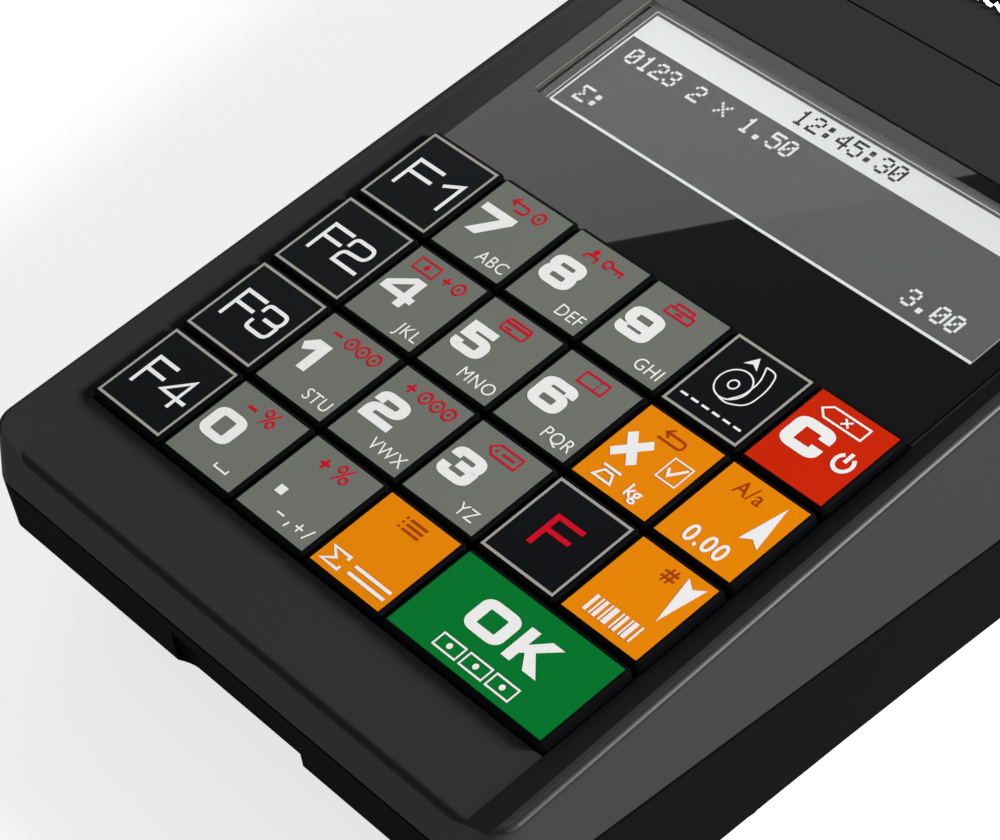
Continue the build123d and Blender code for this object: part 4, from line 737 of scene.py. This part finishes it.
light = []
header_middle = (header_rear + header_front) / 2
stroke(light, [(picture_left, header_middle), (picture_right, header_middle)],
       header_rear - header_front)
stroke(light, [(picture_left, foot_line), (picture_right, foot_line)], foot_width)
for side in (picture_left, picture_right):
    stroke(light, [(side, foot_line), (side, header_rear)], edge_width)
outline_left, outline_right = picture_left - outline_gap, picture_right + outline_gap
stroke(light, [(outline_left, outline_front), (outline_left, outline_rear),
               (outline_right, outline_rear), (outline_right, outline_front)], outline_width)
dot_text(light, "0123 2 x 1.50", figures_left, 1.4)
dot_text(light, "s:", figures_left, sum_base)
dot_text(light, "3.00", 21.4, sum_base)
print_ink("display_picture", light, dots_light, picture_place, "case", above=0.02)
header_text = []
dot_text(header_text, "12:45:30", -8.5, 5.85)
print_ink("display_header_text", header_text, printed_film("dots_dark", (0.05, 0.05, 0.05)),
          picture_place, "case", above=0.45)


# ---------------------------------------------------------------- customer's display
# The same kind of module stands behind a small window in the rear wall and shows one line of
# large figures. It leans with the wall.
finish(window_clear, "customer_lens")
finish(glass_grey, "customer_lcd")
wall_lean = radians(9.0)
customer_faces = (Vector((-1, 0, 0)), Vector((0, -sin(wall_lean), cos(wall_lean))),
                  Vector((0, cos(wall_lean), sin(wall_lean))))
customer_figures = []
dot_text(customer_figures, "3.00", -6.0, -4.4, dot=1.25)
print_ink("customer_display_figures", customer_figures, dots_light,
          top_face("customer_lcd", *customer_faces), "case", above=0.02)


# ---------------------------------------------------------------- upper shell, cover and lid
# The visible housing: anthracite ABS with a fine matt grain. The printer cover lies on ledges in
# front of the paper slot, the lid swings on two pins behind it, and a black button lets it go.
def calculated(owner, operation, *terms):
    """The result of a sum whose terms are sockets or numbers."""
    step = add_node(owner, "ShaderNodeMath", operation=operation)
    for place, term in zip(step.inputs, terms):
        if isinstance(term, float):
            place.default_value = term
        else:
            owner.node_tree.links.new(term, place)
    return step.outputs[0]


shell_grey = moulded_plastic("shell_grey", (0.0360, 0.0360, 0.0368), 0.36, grain=0.10,
                             depth=0.008, edge=0.16)
shell_nodes, shell_links = shell_grey.node_tree.nodes, shell_grey.node_tree.links
shell_surface = shell_nodes["Principled BSDF"].inputs
# Painted shade and gloss by the face's own direction, fitted to the studio view and not a real
# finish: faces that slant to the right are glossier, and those that slant to the front or to either
# side are painted darker.
facing = add_node(shell_grey, "ShaderNodeTexCoord")
facing_parts = add_node(shell_grey, "ShaderNodeSeparateXYZ")
shell_links.new(facing.outputs["Normal"], facing_parts.inputs["Vector"])
side_slant = calculated(shell_grey, "MULTIPLY", facing_parts.outputs["X"],
                        facing_parts.outputs["Z"])
front_slant = calculated(shell_grey, "MULTIPLY", facing_parts.outputs["Y"],
                         facing_parts.outputs["Z"])
either_side = calculated(shell_grey, "ABSOLUTE", side_slant)
edge_shine = ramp(shell_grey, side_slant, low=0.003, high=0.19, start=0.39, end=0.47)
front_painted_shade = ramp(shell_grey, front_slant, low=1.0, high=0.5, start=-0.16, end=-0.42)
side_painted_shade = ramp(shell_grey, either_side, low=1.0, high=0.62, start=0.24, end=0.35)
colour_with_painted_shade = add_node(shell_grey, "ShaderNodeVectorMath", operation="SCALE")
shell_links.new(shell_nodes["Mix"].outputs["Result"], colour_with_painted_shade.inputs[0])
shell_links.new(calculated(shell_grey, "MULTIPLY", front_painted_shade, side_painted_shade), colour_with_painted_shade.inputs["Scale"])
shell_links.new(colour_with_painted_shade.outputs["Vector"], shell_surface["Base Color"])
shell_links.new(edge_shine, shell_surface["Specular IOR Level"])
finish(shell_grey, "upper_case", "printer_cover", "printer_lid")
finish(shell_black, "lid_release")


# ---------------------------------------------------------------- stand, light and camera
# A pale table top under three soft lamps, and a card that shows in mirroring surfaces alone. What
# the camera sees directly, mirrored or through glass is brighter than what lights the object.
def background_rays(owner):
    """1 for the rays that show the background, and 0 for those that light the object."""
    rays = add_node(owner, "ShaderNodeLightPath").outputs
    seen = calculated(owner, "MAXIMUM", rays["Is Camera Ray"], rays["Is Glossy Ray"])
    return calculated(owner, "MAXIMUM", seen, rays["Is Transmission Ray"])


def stand_in(name, points, material):
    """One flat face of the stage, which is no part of the object."""
    mesh = bpy.data.meshes.new(name)
    mesh.from_pydata(points, [], [list(range(len(points)))])
    mesh.materials.append(material)
    piece = bpy.data.objects.new(name, mesh)
    bpy.context.scene.collection.objects.link(piece)
    return piece


white = (1, 1, 1, 1)
table_white, table_surface, table_links = new_material("table_white", {
    "Base Color": (0.55, 0.55, 0.55, 1), "Roughness": 0.9, "Specular IOR Level": 0.0,
    "Emission Color": white})
table_glow = 0.72
table_links.new(calculated(table_white, "MULTIPLY", background_rays(table_white), table_glow),
                table_surface["Emission Strength"])
reach = 3
table = stand_in("table_top", [(-reach, -reach, 0), (reach, -reach, 0), (reach, reach, 0),
                               (-reach, reach, 0)], table_white)

world = bpy.data.worlds.new("studio")
bpy.context.scene.world = world
world.use_nodes = True
sky = world.node_tree.nodes["Background"]
sky.inputs["Color"].default_value = white
world.node_tree.links.new(ramp(world, background_rays(world), low=0.22, high=1.0),
                          sky.inputs["Strength"])


def soft_lamp(name, place, size, watts):
    """A rectangular lamp that points at the middle of the object."""
    lamp = bpy.data.lights.new(name, "AREA")
    lamp.shape = "RECTANGLE"
    lamp.size, lamp.size_y = size
    lamp.energy = watts
    holder = bpy.data.objects.new(name, lamp)
    holder.location = place
    towards = Vector((0, 0, 0.03)) - Vector(place)
    holder.rotation_euler = towards.to_track_quat("-Z", "Y").to_euler()
    bpy.context.scene.collection.objects.link(holder)


soft_lamp("right_lamp", (1.025, 0.51, 0.53), (0.3, 0.3), 28.5)
soft_lamp("front_lamp", (-0.15, -1.20, 0.12), (0.8, 0.2), 4.0)
soft_lamp("rear_lamp", (-0.60, 1.05, 0.12), (0.6, 0.3), 5.0)

camera_data = bpy.data.cameras.new("camera")
camera_data.lens = 136.69
camera_data.sensor_width = 36.0
camera_data.sensor_fit = "HORIZONTAL"
camera = bpy.data.objects.new("camera", camera_data)
bpy.context.scene.collection.objects.link(camera)
camera_place = Vector((0.25307, -0.22086, 0.30562))
camera_right = Vector((0.63851, 0.75913, -0.12661))
camera_down = Vector((0.46011, -0.50840, -0.72790))
camera_ahead = Vector((-0.61694, 0.40651, -0.67390))
turn = Matrix((camera_right, -camera_down, -camera_ahead)).transposed()
camera.matrix_world = Matrix.Translation(camera_place) @ turn.to_4x4()
bpy.context.scene.camera = camera

# From the camera's place the card's edge mirrors in the display along this line, given in mm on
# the plate; each point is thrown from the camera's mirror image up to the card's height.
card_height = 0.55
card_line = [(-9.9, -16.5), (9.8, 8.5), (48.0, 57.0), (-90.0, 57.0), (-90.0, -60.0),
             (-44.0, -60.0)]
eye = camera_place - 2 * deck_up * (camera_place - lens_place.translation).dot(deck_up)
card_points = []
for x, y in card_line:
    on_lens = lens_place @ Vector((x * mm, y * mm, 0))
    beam = on_lens - eye
    card_points.append(on_lens + beam * (card_height - on_lens.z) / beam.z)
card_light = new_material("card_light", {
    "Base Color": (0, 0, 0, 1), "Emission Color": white, "Emission Strength": 9.6})[0]
card = stand_in("mirror_card", card_points, card_light)
card.visible_camera = False
card.visible_diffuse = False
card.visible_shadow = False

bpy.context.scene.view_settings.view_transform = "Standard"
